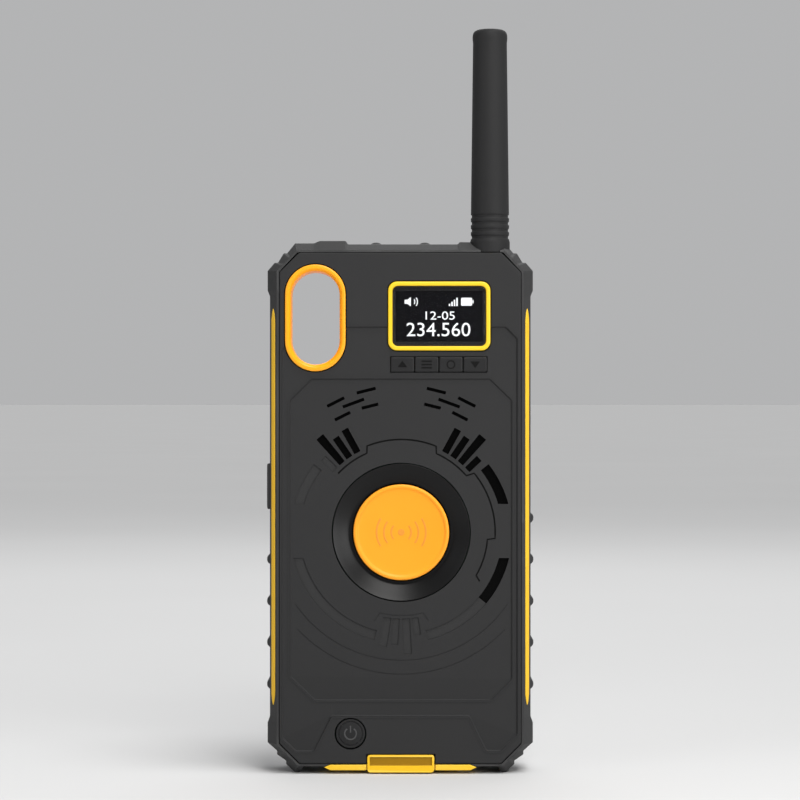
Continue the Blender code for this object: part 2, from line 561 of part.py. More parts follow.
# ---------------------------------------------------------------- power and side keys
finish(turned_y("power_button", [(0, -10.35), (3.9, -10.35), (4.45, -10.0), (4.45, -8.3), (0, -8.3)], POWER, 20, False), "shell", (POWER[0], -9.5, POWER[1]))
finish(box("power_switch", (POWER[0] - 2.2, POWER[0] + 2.2), (-7.6, -5.7), (POWER[1] - 2.2, POWER[1] + 2.2)), "plastic")
for nm, b, s in (("side_talk_key", TALK, -1), ("side_key_cover", SIDE_KEY, -1), ("volume_up_cover", VOL_UP, 1), ("volume_down_cover", VOL_DOWN, 1)):
    (x0, x1), (y0, y1), (z0, z1) = b
    k = box(nm, *b)
    bv = k.modifiers.new("round", 'BEVEL')
    bv.width = 0.35 * MM
    bv.segments = 1
    bv.limit_method = 'ANGLE'
    finish(k, "rubber", ((x0 + x1) / 2, (y0 + y1) / 2, (z0 + z1) / 2))

# ---------------------------------------------------------------- port strip and flap
STRIP_LOOP = [(-22.9, 1.8), (-21.0, 0.9), (21.0, 0.9), (22.9, 1.8), (21.0, 2.6), (-21.0, 2.6)]
strip = plate("port_surround", [STRIP_LOOP], -10.4, 1.8)
cut(strip, joined("strip_port", [box_bm((-5.5, 5.5), (-4.5, -0.7), (0, 4))]),
    joined("strip_tab_recess", [box_bm((-10.3, 10.6), (-12, -9.3), (0, 4))]))
finish(strip, "yellow")
FLAP_AXIS = (0.3, 1.0, 0.35)
flap = box("port_flap", (-10.6, 11.2), (-10.6, 1.2), (0.1, 0.6))
cut(flap, joined("flap_tab", [box_bm((-9.9, 10.2), (-10.6, -9.6), (0.3, 5.55))]),
    joined("flap_plug", [box_bm((-4.9, 4.9), (-4.0, -1.2), (0.4, 2.4))]), op='UNION')
cut(flap, joined("flap_nail_groove", [box_bm((-8.6, 8.9), (-12, -10.15), (2.4, 4.3))]))
finish(flap, "yellow", FLAP_AXIS)

# ---------------------------------------------------------------- antenna
AX = (ANT[0], ANT[1])
whip = turned_z("antenna_whip", [(0, 223.95), (4.0, 223.7), (5.0, 222.6), (5.25, 221.0), (5.1, 219.5), (5.75, 167.5), (5.45, 167.0), (5.45, 166.2),
                                 (5.75, 165.8), (5.78, 164.8), (5.45, 164.4), (5.45, 163.6), (5.8, 163.2), (5.85, 161.2), (6.0, 160.6), (6.0, 157.2), (5.7, 156.6),
                                 (4.8, 156.6), (4.8, 159.1), (4.6, 159.1), (4.6, 168.2), (3.0, 168.2), (3.0, 215.5), (0, 215.5)], AX, 24, False)
finish(whip, "rubber", (*AX, 190.0))
finish(turned_z("antenna_connector", [(4.3, 167.8), (4.3, 159.3), (3.45, 159.3), (3.45, 163.4), (0.9, 163.4), (0.9, 167.8)][::-1], AX, 16), "metal", (*AX, 163.0))
finish(turned_z("antenna_core", [(0, 215.0), (2.7, 215.0), (2.7, 169.5), (0, 169.5)], AX, 12, False), "steel", (*AX, 190.0))
finish(turned_z("antenna_pin", [(0, 169.0), (0.5, 169.0), (0.5, 158.6), (0, 158.6)], AX, 8, False), "metal", (*AX, 163.0))
jack = turned_z("antenna_jack", [(3.1, 162.9), (3.1, 152.6), (3.6, 152.6), (3.6, 151.7), (2.2, 151.7), (2.2, 162.9)], AX, 16)
finish(jack, "metal")
finish(turned_z("jack_insulator", [(1.9, 162.6), (1.9, 151.4), (0.9, 151.4), (0.9, 162.6)], AX, 12), "plastic")
finish(turned_z("jack_nut", [(4.35, 158.6), (4.35, 156.7), (3.4, 156.7), (3.4, 158.6)], AX, 12), "steel")
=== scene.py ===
"""Looks of the two-way radio: detailed shells, trim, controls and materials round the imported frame."""
import bpy
import bmesh
import json
import math
from mathutils import Vector, Matrix


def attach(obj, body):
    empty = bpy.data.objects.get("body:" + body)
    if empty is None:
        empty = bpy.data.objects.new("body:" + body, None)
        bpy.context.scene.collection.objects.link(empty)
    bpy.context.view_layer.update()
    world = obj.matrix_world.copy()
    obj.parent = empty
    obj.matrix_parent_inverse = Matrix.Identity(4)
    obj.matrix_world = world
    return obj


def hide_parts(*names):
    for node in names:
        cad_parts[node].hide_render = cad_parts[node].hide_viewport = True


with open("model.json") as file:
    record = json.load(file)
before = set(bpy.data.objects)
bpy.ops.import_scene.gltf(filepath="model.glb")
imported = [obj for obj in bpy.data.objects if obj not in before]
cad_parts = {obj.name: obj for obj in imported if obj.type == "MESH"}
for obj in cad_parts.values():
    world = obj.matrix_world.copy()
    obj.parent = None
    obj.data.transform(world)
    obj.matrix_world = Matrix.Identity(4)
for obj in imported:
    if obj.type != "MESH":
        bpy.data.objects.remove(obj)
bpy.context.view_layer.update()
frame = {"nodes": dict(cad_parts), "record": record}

MM = 0.001
SCENE = bpy.context.scene
BODY_OF = {n: b for b, ns in frame["record"]["behaviour"]["bodies"].items() for n in ns}
SLOT_OF = {s["node"]: s["material_slot"] for s in frame["record"]["subparts"]}

HALF_W, LOBE_W, RIB, TOP_Z, BOT_Z = 39.3, 40.0, 0.9, 159.0, 1.65
FACE_Y, BACK_Y = -10.5, 10.8
COVER_W, COVER_Z, WALL = 36.3, (2.9, 156.3), 1.6
DISC, DISH_R, DISC_R = (0.3, 72.3), 20.6, 14.4
ANT = (27.1, -4.7)
CAM = (-25.5, 136.7)
POWER = (-14.93, 11.93)
KEY_X = [0.65 + 7.28 * i for i in range(4)]
KEY_Z, KEY_W, KEY_H = 122.7, 6.9, 4.4
SCREWS = [(-12.0, 151.6), (14.0, 151.6), (-32.6, 100.0), (32.6, 96.0), (-32.4, 18.0), (32.4, 18.0)]
RIBS_Z = (26.4, 39.0, 51.45, 64.05)


# ================================================================ geometry helpers
def bm_to_object(name, bm, weld=True):
    if weld:
        bmesh.ops.remove_doubles(bm, verts=bm.verts, dist=1e-6)
    bmesh.ops.recalc_face_normals(bm, faces=bm.faces)
    me = bpy.data.meshes.new(name)
    bm.to_mesh(me)
    bm.free()
    ob = bpy.data.objects.new(name, me)
    SCENE.collection.objects.link(ob)
    return ob


def evaluated_bmesh(ob):
    bpy.context.view_layer.update()
    dg = bpy.context.evaluated_depsgraph_get()
    me = bpy.data.meshes.new_from_object(ob.evaluated_get(dg))
    me.transform(ob.matrix_world)
    bm = bmesh.new()
    bm.from_mesh(me)
    bpy.data.meshes.remove(me)
    bpy.data.objects.remove(ob, do_unlink=True)
    return bm


def plate_bm(loops, y0, y1):
    cu = bpy.data.curves.new("outline", 'CURVE')
    cu.dimensions = '2D'
    cu.fill_mode = 'BOTH'
    cu.extrude = abs(y1 - y0) * MM / 2
    for loop in loops:
        sp = cu.splines.new('POLY')
        sp.points.add(len(loop) - 1)
        for p, (u, v) in zip(sp.points, loop):
            p.co = (u * MM, v * MM, 0, 1)
        sp.use_cyclic_u = True
    ob = bpy.data.objects.new("outline", cu)
    SCENE.collection.objects.link(ob)
    ob.matrix_world = Matrix.Translation((0, (y0 + y1) / 2 * MM, 0)) @ Matrix.Rotation(math.pi / 2, 4, 'X')
    bm = evaluated_bmesh(ob)
    bmesh.ops.remove_doubles(bm, verts=bm.verts, dist=1e-6)
    bmesh.ops.recalc_face_normals(bm, faces=bm.faces)
    return bm


def loft_bm(sections, fan=False):
    bm = bmesh.new()
    rings = [[bm.verts.new((x * MM, y * MM, z * MM)) for x, z in loop] for y, loop in sections]
    n = len(rings[0])
    for a, b in zip(rings, rings[1:]):
        for i in range(n):
            j = (i + 1) % n
            bm.faces.new((a[i], a[j], b[j], b[i]))
    for ring, (y, loop) in ((rings[0], sections[0]), (rings[-1], sections[-1])):
        if fan:
            cx = (min(p[0] for p in loop) + max(p[0] for p in loop)) / 2
            cz = (min(p[1] for p in loop) + max(p[1] for p in loop)) / 2
            mid = bm.verts.new((cx * MM, y * MM, cz * MM))
            for i in range(n):
                bm.faces.new((ring[i], ring[(i + 1) % n], mid))
        else:
            bm.faces.new(ring)
    bmesh.ops.recalc_face_normals(bm, faces=bm.faces)
    return bm


def box_bm(x, y, z):
    bm = bmesh.new()
    bmesh.ops.create_cube(bm, size=1.0)
    s = Vector(((x[1] - x[0]) * MM, (y[1] - y[0]) * MM, (z[1] - z[0]) * MM))
    c = Vector(((x[0] + x[1]) / 2 * MM, (y[0] + y[1]) / 2 * MM, (z[0] + z[1]) / 2 * MM))
    bmesh.ops.transform(bm, matrix=Matrix.Translation(c) @ Matrix.Diagonal((*s, 1)), verts=bm.verts)
    return bm


def turned_bm(profile, steps, closed, place):
    me = bpy.data.meshes.new("profile")
    bm = bmesh.new()
    vs = [bm.verts.new((r * MM, 0, h * MM)) for r, h in profile]
    for a, b in zip(vs, vs[1:] + ([vs[0]] if closed else [])):
        if a is not b:
            bm.edges.new((a, b))
    bm.to_mesh(me)
    bm.free()
    ob = bpy.data.objects.new("profile", me)
    SCENE.collection.objects.link(ob)
    m = ob.modifiers.new("turn", 'SCREW')
    m.steps = m.render_steps = steps
    m.use_merge_vertices = True
    m.merge_threshold = 1e-6
    ob.matrix_world = place
    bm = evaluated_bmesh(ob)
    bmesh.ops.remove_doubles(bm, verts=bm.verts, dist=1e-7)
    bmesh.ops.recalc_face_normals(bm, faces=bm.faces)
    return bm


def along_y(x, z):
    return Matrix.Translation((x * MM, 0, z * MM)) @ Matrix.Rotation(math.pi / 2, 4, 'X')


def turned_y(profile, c, steps=96, closed=True):
    return turned_bm([(r, -y) for r, y in profile], steps, closed, along_y(*c))


def turned_z(profile, c, steps=64, closed=True):
    return turned_bm(profile, steps, closed, Matrix.Translation((c[0] * MM, c[1] * MM, 0)))


def merged(bms):
    out = bmesh.new()
    for bm in bms:
        me = bpy.data.meshes.new("tmp")
        bmesh.ops.recalc_face_normals(bm, faces=bm.faces)
        bm.to_mesh(me)
        out.from_mesh(me)
        bpy.data.meshes.remove(me)
        bm.free()
    return out


def carve(ob, bms, op='DIFFERENCE'):
    """Exact boolean with separate bodies, applied at once."""
    bm = merged(bms)
    me = bpy.data.meshes.new("cutter")
    bm.to_mesh(me)
    bm.free()
    c = bpy.data.objects.new("cutter", me)
    SCENE.collection.objects.link(c)
    m = ob.modifiers.new("cut", 'BOOLEAN')
    m.operation = op
    m.solver = 'EXACT'
    m.object = c
    bpy.context.view_layer.update()
    dg = bpy.context.evaluated_depsgraph_get()
    new = bpy.data.meshes.new_from_object(ob.evaluated_get(dg))
    ob.modifiers.clear()
    old = ob.data
    ob.data = new
    new.name = ob.name
    bpy.data.meshes.remove(old)
    bpy.data.objects.remove(c, do_unlink=True)
    return ob


def offset_loop(loop, d):
    """Outline grown by d (a polygon going anticlockwise)."""
    n = len(loop)
    area = sum(loop[i][0] * loop[(i + 1) % n][1] - loop[(i + 1) % n][0] * loop[i][1] for i in range(n))
    s = 1.0 if area > 0 else -1.0
    out = []
    for i in range(n):
        p0, p1, p2 = loop[i - 1], loop[i], loop[(i + 1) % n]
        a = (p1[0] - p0[0], p1[1] - p0[1])
        b = (p2[0] - p1[0], p2[1] - p1[1])
        la, lb = math.hypot(*a) or 1e-9, math.hypot(*b) or 1e-9
        na, nb = (a[1] / la, -a[0] / la), (b[1] / lb, -b[0] / lb)
        k = 1 + na[0] * nb[0] + na[1] * nb[1]
        k = max(k, 0.35)
        out.append((p1[0] + s * d * (na[0] + nb[0]) / k, p1[1] + s * d * (na[1] + nb[1]) / k))
    return out


def rounded(loop, r, n=5):
    """Polygon with its corners rounded to radius r (one number or one for each corner)."""
    out = []
    m = len(loop)
    for i in range(m):
        p0, p1, p2 = Vector(loop[i - 1]), Vector(loop[i]), Vector(loop[(i + 1) % m])
        rr = r[i] if isinstance(r, (list, tuple)) else r
        a, b = (p0 - p1), (p2 - p1)
        la, lb = a.length, b.length
        a.normalize(); b.normalize()
        ang = a.angle(b)
        if rr <= 0 or ang > math.radians(178):
            out.append(tuple(p1))
            continue
        t = min(rr / math.tan(ang / 2), la * 0.48, lb * 0.48)
        rr = t * math.tan(ang / 2)
        bis = (a + b).normalized()
        c = p1 + bis * (rr / math.sin(ang / 2))
        s, e = p1 + a * t, p1 + b * t
        v0, v1 = s - c, e - c
        tot = v0.angle_signed(v1) if hasattr(v0, "angle_signed") else v0.angle(v1)
        for k in range(n + 1):
            w = k / n
            ca, sa = math.cos(-tot * w), math.sin(-tot * w)
            out.append((c[0] + v0[0] * ca - v0[1] * sa, c[1] + v0[0] * sa + v0[1] * ca))
    return out


def disc_loop(c, r, n=48):
    return [(c[0] + r * math.cos(2 * math.pi * i / n), c[1] + r * math.sin(2 * math.pi * i / n)) for i in range(n)]


def stadium(c, w, h, n=24):
    r = w / 2
    top = [(c[0] + r * math.cos(math.pi * i / n), c[1] + h / 2 - r + r * math.sin(math.pi * i / n)) for i in range(n + 1)]
    bot = [(c[0] - r * math.cos(math.pi * i / n), c[1] - h / 2 + r - r * math.sin(math.pi * i / n)) for i in range(n + 1)]
    return top + bot


def rect(x0, x1, z0, z1, r=0.0, n=6):
    loop = [(x0, z0), (x1, z0), (x1, z1), (x0, z1)]
    return rounded(loop, r, n) if r > 0 else loop


def octagon(w, z0, z1, cb, ct):
    return [(-w + cb, z0), (w - cb, z0), (w, z0 + cb), (w, z1 - ct), (w - ct, z1), (-w + ct, z1), (-w, z1 - ct), (-w, z0 + cb)]


def flared(loop, floor, top=None, run=0.25, over=1.5):
    """Cutter with sloping, softly turned walls: outline at the floor, wider at the surface."""
    top = FACE_Y if top is None else top
    depth = floor - top
    return loft_bm([(top - over, offset_loop(loop, run + 0.25)), (top - 0.02, offset_loop(loop, run + 0.12)),
                    (top + 0.18 * depth, offset_loop(loop, run * 0.85)), (floor - 0.15 * depth, offset_loop(loop, 0.08)),
                    (floor, offset_loop(loop, -0.08))])


def polar(c, r, a):
    return (c[0] + r * math.cos(math.radians(a)), c[1] + r * math.sin(math.radians(a)))


def bar(c, a, r0, r1, w0, w1=None):
    w1 = w1 or w0
    t = (-math.sin(math.radians(a)), math.cos(math.radians(a)))
    p, q = polar(c, r0, a), polar(c, r1, a)
    return [(p[0] - t[0] * w0 / 2, p[1] - t[1] * w0 / 2), (q[0] - t[0] * w1 / 2, q[1] - t[1] * w1 / 2),
            (q[0] + t[0] * w1 / 2, q[1] + t[1] * w1 / 2), (p[0] + t[0] * w0 / 2, p[1] + t[1] * w0 / 2)]


def dash(c, a, r, ln, th=0.96):
    t = (-math.sin(math.radians(a)), math.cos(math.radians(a)))
    p, q = polar(c, r - th / 2, a), polar(c, r + th / 2, a)
    return [(p[0] - t[0] * ln / 2, p[1] - t[1] * ln / 2), (q[0] - t[0] * ln / 2, q[1] - t[1] * ln / 2),
            (q[0] + t[0] * ln / 2, q[1] + t[1] * ln / 2), (p[0] + t[0] * ln / 2, p[1] + t[1] * ln / 2)]


def arc_slot(c, r0, r1, a0, a1, flat=0, n=24):
    def ang(r, end):
        a = a0 if end == 0 else a1
        if flat == end + 1:
            z = (r0 + r1) / 2 * math.sin(math.radians(a))
            b = math.degrees(math.asin(z / r))
            a = b if abs(a) < 90 else math.copysign(180, a) - b
        return a
    inner, outer = (ang(r0, 0), ang(r0, 1)), (ang(r1, 0), ang(r1, 1))
    return [polar(c, r1, outer[0] + (outer[1] - outer[0]) * i / n) for i in range(n + 1)] + \
           [polar(c, r0, inner[1] + (inner[0] - inner[1]) * i / n) for i in range(n + 1)]


def stroke_bm(points, width, y0, y1, closed=False):
    """A thin band of constant width along a polyline in the XZ plane."""
    n = len(points)
    left, right = [], []
    for i in range(n):
        if closed:
            p0, p2 = points[i - 1], points[(i + 1) % n]
        else:
            p0, p2 = points[max(0, i - 1)], points[min(n - 1, i + 1)]
        d = Vector((p2[0] - p0[0], p2[1] - p0[1]))
        d.normalize()
        p = points[i]
        left.append((p[0] - d[1] * width / 2, p[1] + d[0] * width / 2))
        right.append((p[0] + d[1] * width / 2, p[1] - d[0] * width / 2))
    bm = bmesh.new()
    rows = []
    for i in range(n):
        rows.append([bm.verts.new((x * MM, y * MM, z * MM)) for (x, z), y in
                     ((left[i], y0), (right[i], y0), (right[i], y1), (left[i], y1))])
    m = n if closed else n - 1
    for i in range(m):
        a, b = rows[i], rows[(i + 1) % n]
        for k in range(4):
            bm.faces.new((a[k], a[(k + 1) % 4], b[(k + 1) % 4], b[k]))
    if not closed:
        bm.faces.new(rows[0])
        bm.faces.new(rows[-1])
    bmesh.ops.recalc_face_normals(bm, faces=bm.faces)
    return bm


def soften(ob, width=0.15, segments=2, angle=28):
    """Small rounded edges and clean shading."""
    if width:
        b = ob.modifiers.new("edges", 'BEVEL')
        b.width = width * MM
        b.segments = segments
        b.limit_method = 'ANGLE'
        b.angle_limit = math.radians(angle)
        b.use_clamp_overlap = True
        b.miter_outer = 'MITER_ARC'
        b.harden_normals = False
    bpy.context.view_layer.update()
    dg = bpy.context.evaluated_depsgraph_get()
    new = bpy.data.meshes.new_from_object(ob.evaluated_get(dg))
    ob.modifiers.clear()
    ob.data = new
    new.name = ob.name
    new.shade_smooth()
    new.set_sharp_from_angle(angle=math.radians(35))
    for f in new.polygons:
        if f.area > 12 * MM * MM and max(abs(c) for c in f.normal) > 0.9995:
            f.use_smooth = False
    w = ob.modifiers.new("normals", 'WEIGHTED_NORMAL')
    w.keep_sharp = True
    w.weight = 80
    return ob


def done(ob, mat, body, nodes=()):
    ob.data.materials.clear()
    ob.data.materials.append(mat)
    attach(ob, body)
    if nodes:
        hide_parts(*nodes)
    return ob


# ================================================================ materials
def base_material(name):
    m = bpy.data.materials.new(name)
    m.use_nodes = True
    nt = m.node_tree
    return m, nt, nt.nodes["Principled BSDF"], nt.nodes.new, nt.links.new


def plastic(name, rgb, rough, grain=2600.0, grain_depth=0.012, blotch=0.12, rough_var=0.08, wear=0.0, wear_rgb=None,
            metal=0.0, coat=0.0, sheen=0.0, stretch=(1, 1, 1), spec=0.5):
    """Moulded surface: fine grain in the relief, slow variation in colour and gloss, lighter worn edges."""
    m, nt, b, new, link = base_material(name)
    co = new("ShaderNodeTexCoord")
    mp = new("ShaderNodeMapping")
    mp.inputs["Scale"].default_value = stretch
    link(co.outputs["Object"], mp.inputs["Vector"])
    fine = new("ShaderNodeTexNoise")
    fine.inputs["Scale"].default_value = grain
    fine.inputs["Detail"].default_value = 3.0
    link(mp.outputs["Vector"], fine.inputs["Vector"])
    slow = new("ShaderNodeTexNoise")
    slow.inputs["Scale"].default_value = 60.0
    slow.inputs["Detail"].default_value = 4.0
    link(mp.outputs["Vector"], slow.inputs["Vector"])
    var = new("ShaderNodeMapRange")
    var.inputs["To Min"].default_value = 1.0 - blotch
    var.inputs["To Max"].default_value = 1.0 + blotch
    link(slow.outputs["Fac"], var.inputs["Value"])
    mid = new("ShaderNodeMapRange")
    mid.inputs["To Min"].default_value = 1.0 - blotch * 0.6
    mid.inputs["To Max"].default_value = 1.0 + blotch * 0.6
    link(fine.outputs["Fac"], mid.inputs["Value"])
    mul = new("ShaderNodeMath")
    mul.operation = 'MULTIPLY'
    link(var.outputs["Result"], mul.inputs[0])
    link(mid.outputs["Result"], mul.inputs[1])
    scale = new("ShaderNodeVectorMath")
    scale.operation = 'SCALE'
    scale.inputs[0].default_value = rgb
    link(mul.outputs["Value"], scale.inputs["Scale"])
    colour = scale.outputs["Vector"]
    if wear > 0:
        geo = new("ShaderNodeNewGeometry")
        edge = new("ShaderNodeMapRange")
        edge.inputs["From Min"].default_value = 0.52
        edge.inputs["From Max"].default_value = 0.62
        edge.inputs["To Max"].default_value = wear
        link(geo.outputs["Pointiness"], edge.inputs["Value"])
        mix = new("ShaderNodeMix")
        mix.data_type = 'RGBA'
        link(edge.outputs["Result"], mix.inputs["Factor"])
        link(colour, mix.inputs[6])
        mix.inputs[7].default_value = (*(wear_rgb or [min(1, c * 1.8) for c in rgb]), 1)
        colour = mix.outputs[2]
    link(colour, b.inputs["Base Color"])
    rr = new("ShaderNodeMapRange")
    rr.inputs["To Min"].default_value = max(0.02, rough - rough_var)
    rr.inputs["To Max"].default_value = min(1.0, rough + rough_var)
    link(slow.outputs["Fac"], rr.inputs["Value"])
    link(rr.outputs["Result"], b.inputs["Roughness"])
    bump = new("ShaderNodeBump")
    bump.inputs["Strength"].default_value = 0.6
    bump.inputs["Distance"].default_value = grain_depth * MM
    link(fine.outputs["Fac"], bump.inputs["Height"])
    link(bump.outputs["Normal"], b.inputs["Normal"])
    b.inputs["Metallic"].default_value = metal
    b.inputs["Specular IOR Level"].default_value = spec
    if coat:
        b.inputs["Coat Weight"].default_value = coat
        b.inputs["Coat Roughness"].default_value = 0.08
    if sheen:
        b.inputs["Sheen Weight"].default_value = sheen
        b.inputs["Sheen Roughness"].default_value = 0.5
    return m


def glowing(name, rgb, strength):
    """Lit pixels of the panel: a fine grid darkens the gaps between them."""
    m, nt, b, new, link = base_material(name)
    co = new("ShaderNodeTexCoord")
    wx = new("ShaderNodeTexWave")
    wx.bands_direction = 'X'
    wx.inputs["Scale"].default_value = 900.0
    link(co.outputs["Object"], wx.inputs["Vector"])
    r = new("ShaderNodeMapRange")
    r.inputs["To Min"].default_value = strength * 0.82
    r.inputs["To Max"].default_value = strength
    link(wx.outputs["Fac"], r.inputs["Value"])
    b.inputs["Base Color"].default_value = (*rgb, 1)
    b.inputs["Emission Color"].default_value = (*rgb, 1)
    link(r.outputs["Result"], b.inputs["Emission Strength"])
    b.inputs["Roughness"].default_value = 0.4
    return m


M = {
    "shell": plastic("shell_charcoal", (0.0128, 0.0128, 0.0131), 0.56, grain=3200, grain_depth=0.02, blotch=0.10, spec=0.06, wear=0.35, wear_rgb=(0.06, 0.06, 0.061)),
    "panel": plastic("panel_charcoal", (0.036, 0.036, 0.037), 0.48, grain=3200, grain_depth=0.016, wear=0.35, wear_rgb=(0.08, 0.08, 0.082)),
    "rubber": plastic("bumper_rubber", (0.031, 0.031, 0.0315), 0.55, grain=2200, grain_depth=0.03, blotch=0.12, wear=0.4, spec=0.22, wear_rgb=(0.065, 0.065, 0.065)),
    "tray": plastic("tray_plastic", (0.030, 0.030, 0.031), 0.6, grain=1800, grain_depth=0.04),
    "ring": plastic("ring_orange", (0.93, 0.36, 0.006), 0.40, grain=2400, grain_depth=0.006, blotch=0.05, wear=0.5, wear_rgb=(1.0, 0.62, 0.18), spec=0.3),
    "disc": plastic("disc_orange", (0.92, 0.325, 0.011), 0.45, grain=2400, grain_depth=0.006, blotch=0.04, wear=0.5, wear_rgb=(1.0, 0.60, 0.14), spec=0.3),
    "mark": plastic("disc_mark", (0.72, 0.26, 0.02), 0.45, grain=2400, grain_depth=0.006, blotch=0.04),
    "yellow": plastic("yellow_trim", (0.80, 0.47, 0.010), 0.45, grain=2400, grain_depth=0.01, blotch=0.06, wear=0.4, wear_rgb=(1.0, 0.74, 0.16), spec=0.3),
    # painted_shade_yellow_recess: darker yellow, painted shade for the recess in the port flap.
    "recess": plastic("painted_shade_yellow_recess", (0.30, 0.155, 0.001), 0.55, grain=2400, grain_depth=0.01, blotch=0.06, spec=0.2),
    # painted_light_groove_floor: lighter than the cover face, painted light for the floors of the closed grooves.
    "blind": plastic("painted_light_groove_floor", (0.030, 0.030, 0.0305), 0.5, grain=2800, grain_depth=0.01, blotch=0.06, spec=0.12),
    "emboss": plastic("embossed_charcoal", (0.045, 0.045, 0.046), 0.5, grain=2800, grain_depth=0.01, blotch=0.08),
    "bezel": plastic("bezel_yellow", (0.86, 0.55, 0.018), 0.40, grain=2400, grain_depth=0.006, blotch=0.04, spec=0.35),
    "gloss": plastic("gloss_black", (0.006, 0.006, 0.0062), 0.30, grain=900, grain_depth=0.003, blotch=0.1, rough_var=0.03, spec=0.16),
    "grille": plastic("grille_gloss", (0.0012, 0.0012, 0.0012), 0.16, grain=700, grain_depth=0.001, blotch=0.1, rough_var=0.03, spec=0.06),
    # painted_shade_black: painted shade for the gear groove floor and the side wall of the talk disc.
    "groove": plastic("painted_shade_black", (0.0035, 0.0035, 0.0035), 0.45, grain=1500, grain_depth=0.01, spec=0.15),
    "panel_black": plastic("display_black", (0.004, 0.004, 0.005), 0.12, grain=900, grain_depth=0.001, blotch=0.1),
    "key": plastic("key_charcoal", (0.018, 0.018, 0.0185), 0.48, grain=3000, grain_depth=0.012, wear=0.3, wear_rgb=(0.05, 0.05, 0.05), spec=0.13),
    "key_mark": plastic("key_mark", (0.005, 0.005, 0.005), 0.5, grain=3000, grain_depth=0.006, spec=0.1),
    "antenna": plastic("antenna_rubber", (0.0185, 0.0185, 0.019), 0.60, grain=1800, grain_depth=0.02, blotch=0.12, wear=0.3, spec=0.14, stretch=(1, 1, 0.35)),
    "gold": plastic("gold_plate", (0.83, 0.62, 0.28), 0.25, grain=1500, grain_depth=0.003, metal=1.0, blotch=0.05),
    "steel": plastic("plain_steel", (0.55, 0.55, 0.57), 0.32, grain=900, grain_depth=0.004, metal=1.0, blotch=0.08, stretch=(1, 6, 1)),
    "board": plastic("board_green", (0.01, 0.075, 0.03), 0.4, grain=500, grain_depth=0.01, blotch=0.25),
    "component": plastic("component_black", (0.02, 0.02, 0.02), 0.5, grain=1500, grain_depth=0.01),
    "foam": plastic("foam_black", (0.025, 0.025, 0.025), 0.95, grain=1600, grain_depth=0.12, blotch=0.3),
    "battery": plastic("battery_wrap", (0.10, 0.13, 0.22), 0.35, grain=500, grain_depth=0.02, blotch=0.1),
    "lit": glowing("lit_pixels", (0.9, 0.92, 0.95), 1.4),
}


def glass_material():
    m, nt, b, new, link = base_material("lens_glass")
    co = new("ShaderNodeTexCoord")
    n = new("ShaderNodeTexNoise")
    n.inputs["Scale"].default_value = 140.0
    link(co.outputs["Object"], n.inputs["Vector"])
    r = new("ShaderNodeMapRange")
    r.inputs["To Min"].default_value = 0.03
    r.inputs["To Max"].default_value = 0.08
    link(n.outputs["Fac"], r.inputs["Value"])
    link(r.outputs["Result"], b.inputs["Roughness"])
    b.inputs["Base Color"].default_value = (0.012, 0.012, 0.014, 1)
    b.inputs["Alpha"].default_value = 0.22
    b.inputs["IOR"].default_value = 1.5
    m.surface_render_method = 'BLENDED'
    return m


M["glass"] = glass_material()


def paint(ob, mat, test):
    """Give the faces whose centre (mm) and normal pass the test another material."""
    ob.data.materials.append(mat)
    k = len(ob.data.materials) - 1
    for p in ob.data.polygons:
        c = p.center / MM
        if test(c, p.normal):
            p.material_index = k


# ================================================================ bumper frame
RIM = [(-30.6, 2.2), (30.6, 2.2), (37.1, 8.7), (37.1, 150.7), (31.2, 157.0), (-31.2, 157.0), (-37.1, 150.7), (-37.1, 8.7)]


def nearest(p, poly):
    best = None
    for a, b in zip(poly, poly[1:] + poly[:1]):
        dx, dz = b[0] - a[0], b[1] - a[1]
        t = max(0.0, min(1.0, ((p[0] - a[0]) * dx + (p[1] - a[1]) * dz) / (dx * dx + dz * dz)))
        q = (a[0] + t * dx, a[1] + t * dz)
        d = (q[0] - p[0]) ** 2 + (q[1] - p[1]) ** 2
        if best is None or d < best[0]:
            best = (d, q)
    return best[1]


def teeth(a, b, ra, rb, shape):
    dx, dz = b[0] - a[0], b[1] - a[1]
    ln = math.hypot(dx, dz)
    nx, nz = dz / ln, -dx / ln
    return [((a[0] + t * dx + h * nx, a[1] + t * dz + h * nz), (ra[0] + t * (rb[0] - ra[0]), ra[1] + t * (rb[1] - ra[1])), (0, 0)) for t, h in shape]


SAW = ((0.0, 0.0), (0.03, 0.06), (0.25, 0.25), (0.28, 0.22), (0.335, -0.36), (0.36, -0.38), (0.59, 0.28), (0.62, 0.26), (0.675, -0.36), (0.70, -0.38), (0.97, -0.04), (1.0, 0.0))


def right_side(ribs, top):
    out = []

    def add(x, z, rib=(0, 0), rim=None):
        out.append(((x, z), rim or nearest((x, z), RIM), rib))
    add(28.7, BOT_Z); add(29.1, BOT_Z - 0.12)
    add(30.2, 0.12, rim=(30.0, 2.2)); add(30.5, 0.0, rim=(30.25, 2.2))
    out.extend(teeth((32.0, 0.0), (LOBE_W, 8.85), (30.6, 2.2), (37.1, 8.7), SAW))
    add(LOBE_W, 9.2); add(LOBE_W, 14.6); add(LOBE_W - 0.04, 14.95)
    add(HALF_W + 0.04, 16.65); add(HALF_W, 17.0)
    for zc in ribs:
        for t in (-1.5, -1.3, -1.05, -0.8, -0.45, 0.0, 0.45, 0.8, 1.05, 1.3, 1.5):
            h = max(0.0, 1 - (abs(t) / 1.5) ** 2.6) ** 0.8
            add(HALF_W, zc + t, (RIB * h, 0))
    for z in (90, 100, 110, 120, 130):
        add(HALF_W, z)
    add(HALF_W, 143.0); add(HALF_W + 0.04, 143.4)
    add(LOBE_W - 0.04, 144.95); add(LOBE_W, 145.3); add(LOBE_W, 150.6)
    out.extend(teeth((LOBE_W, 150.9), (31.7, 159.3), (37.1, 150.7), (31.2, 157.0), SAW))
    for x, z, r in top:
        add(x, z, (0, r))
    return out


def mirror(pts):
    return [((-p[0][0], p[0][1]), (-p[1][0], p[1][1]), (-p[2][0], p[2][1])) for p in reversed(pts)]


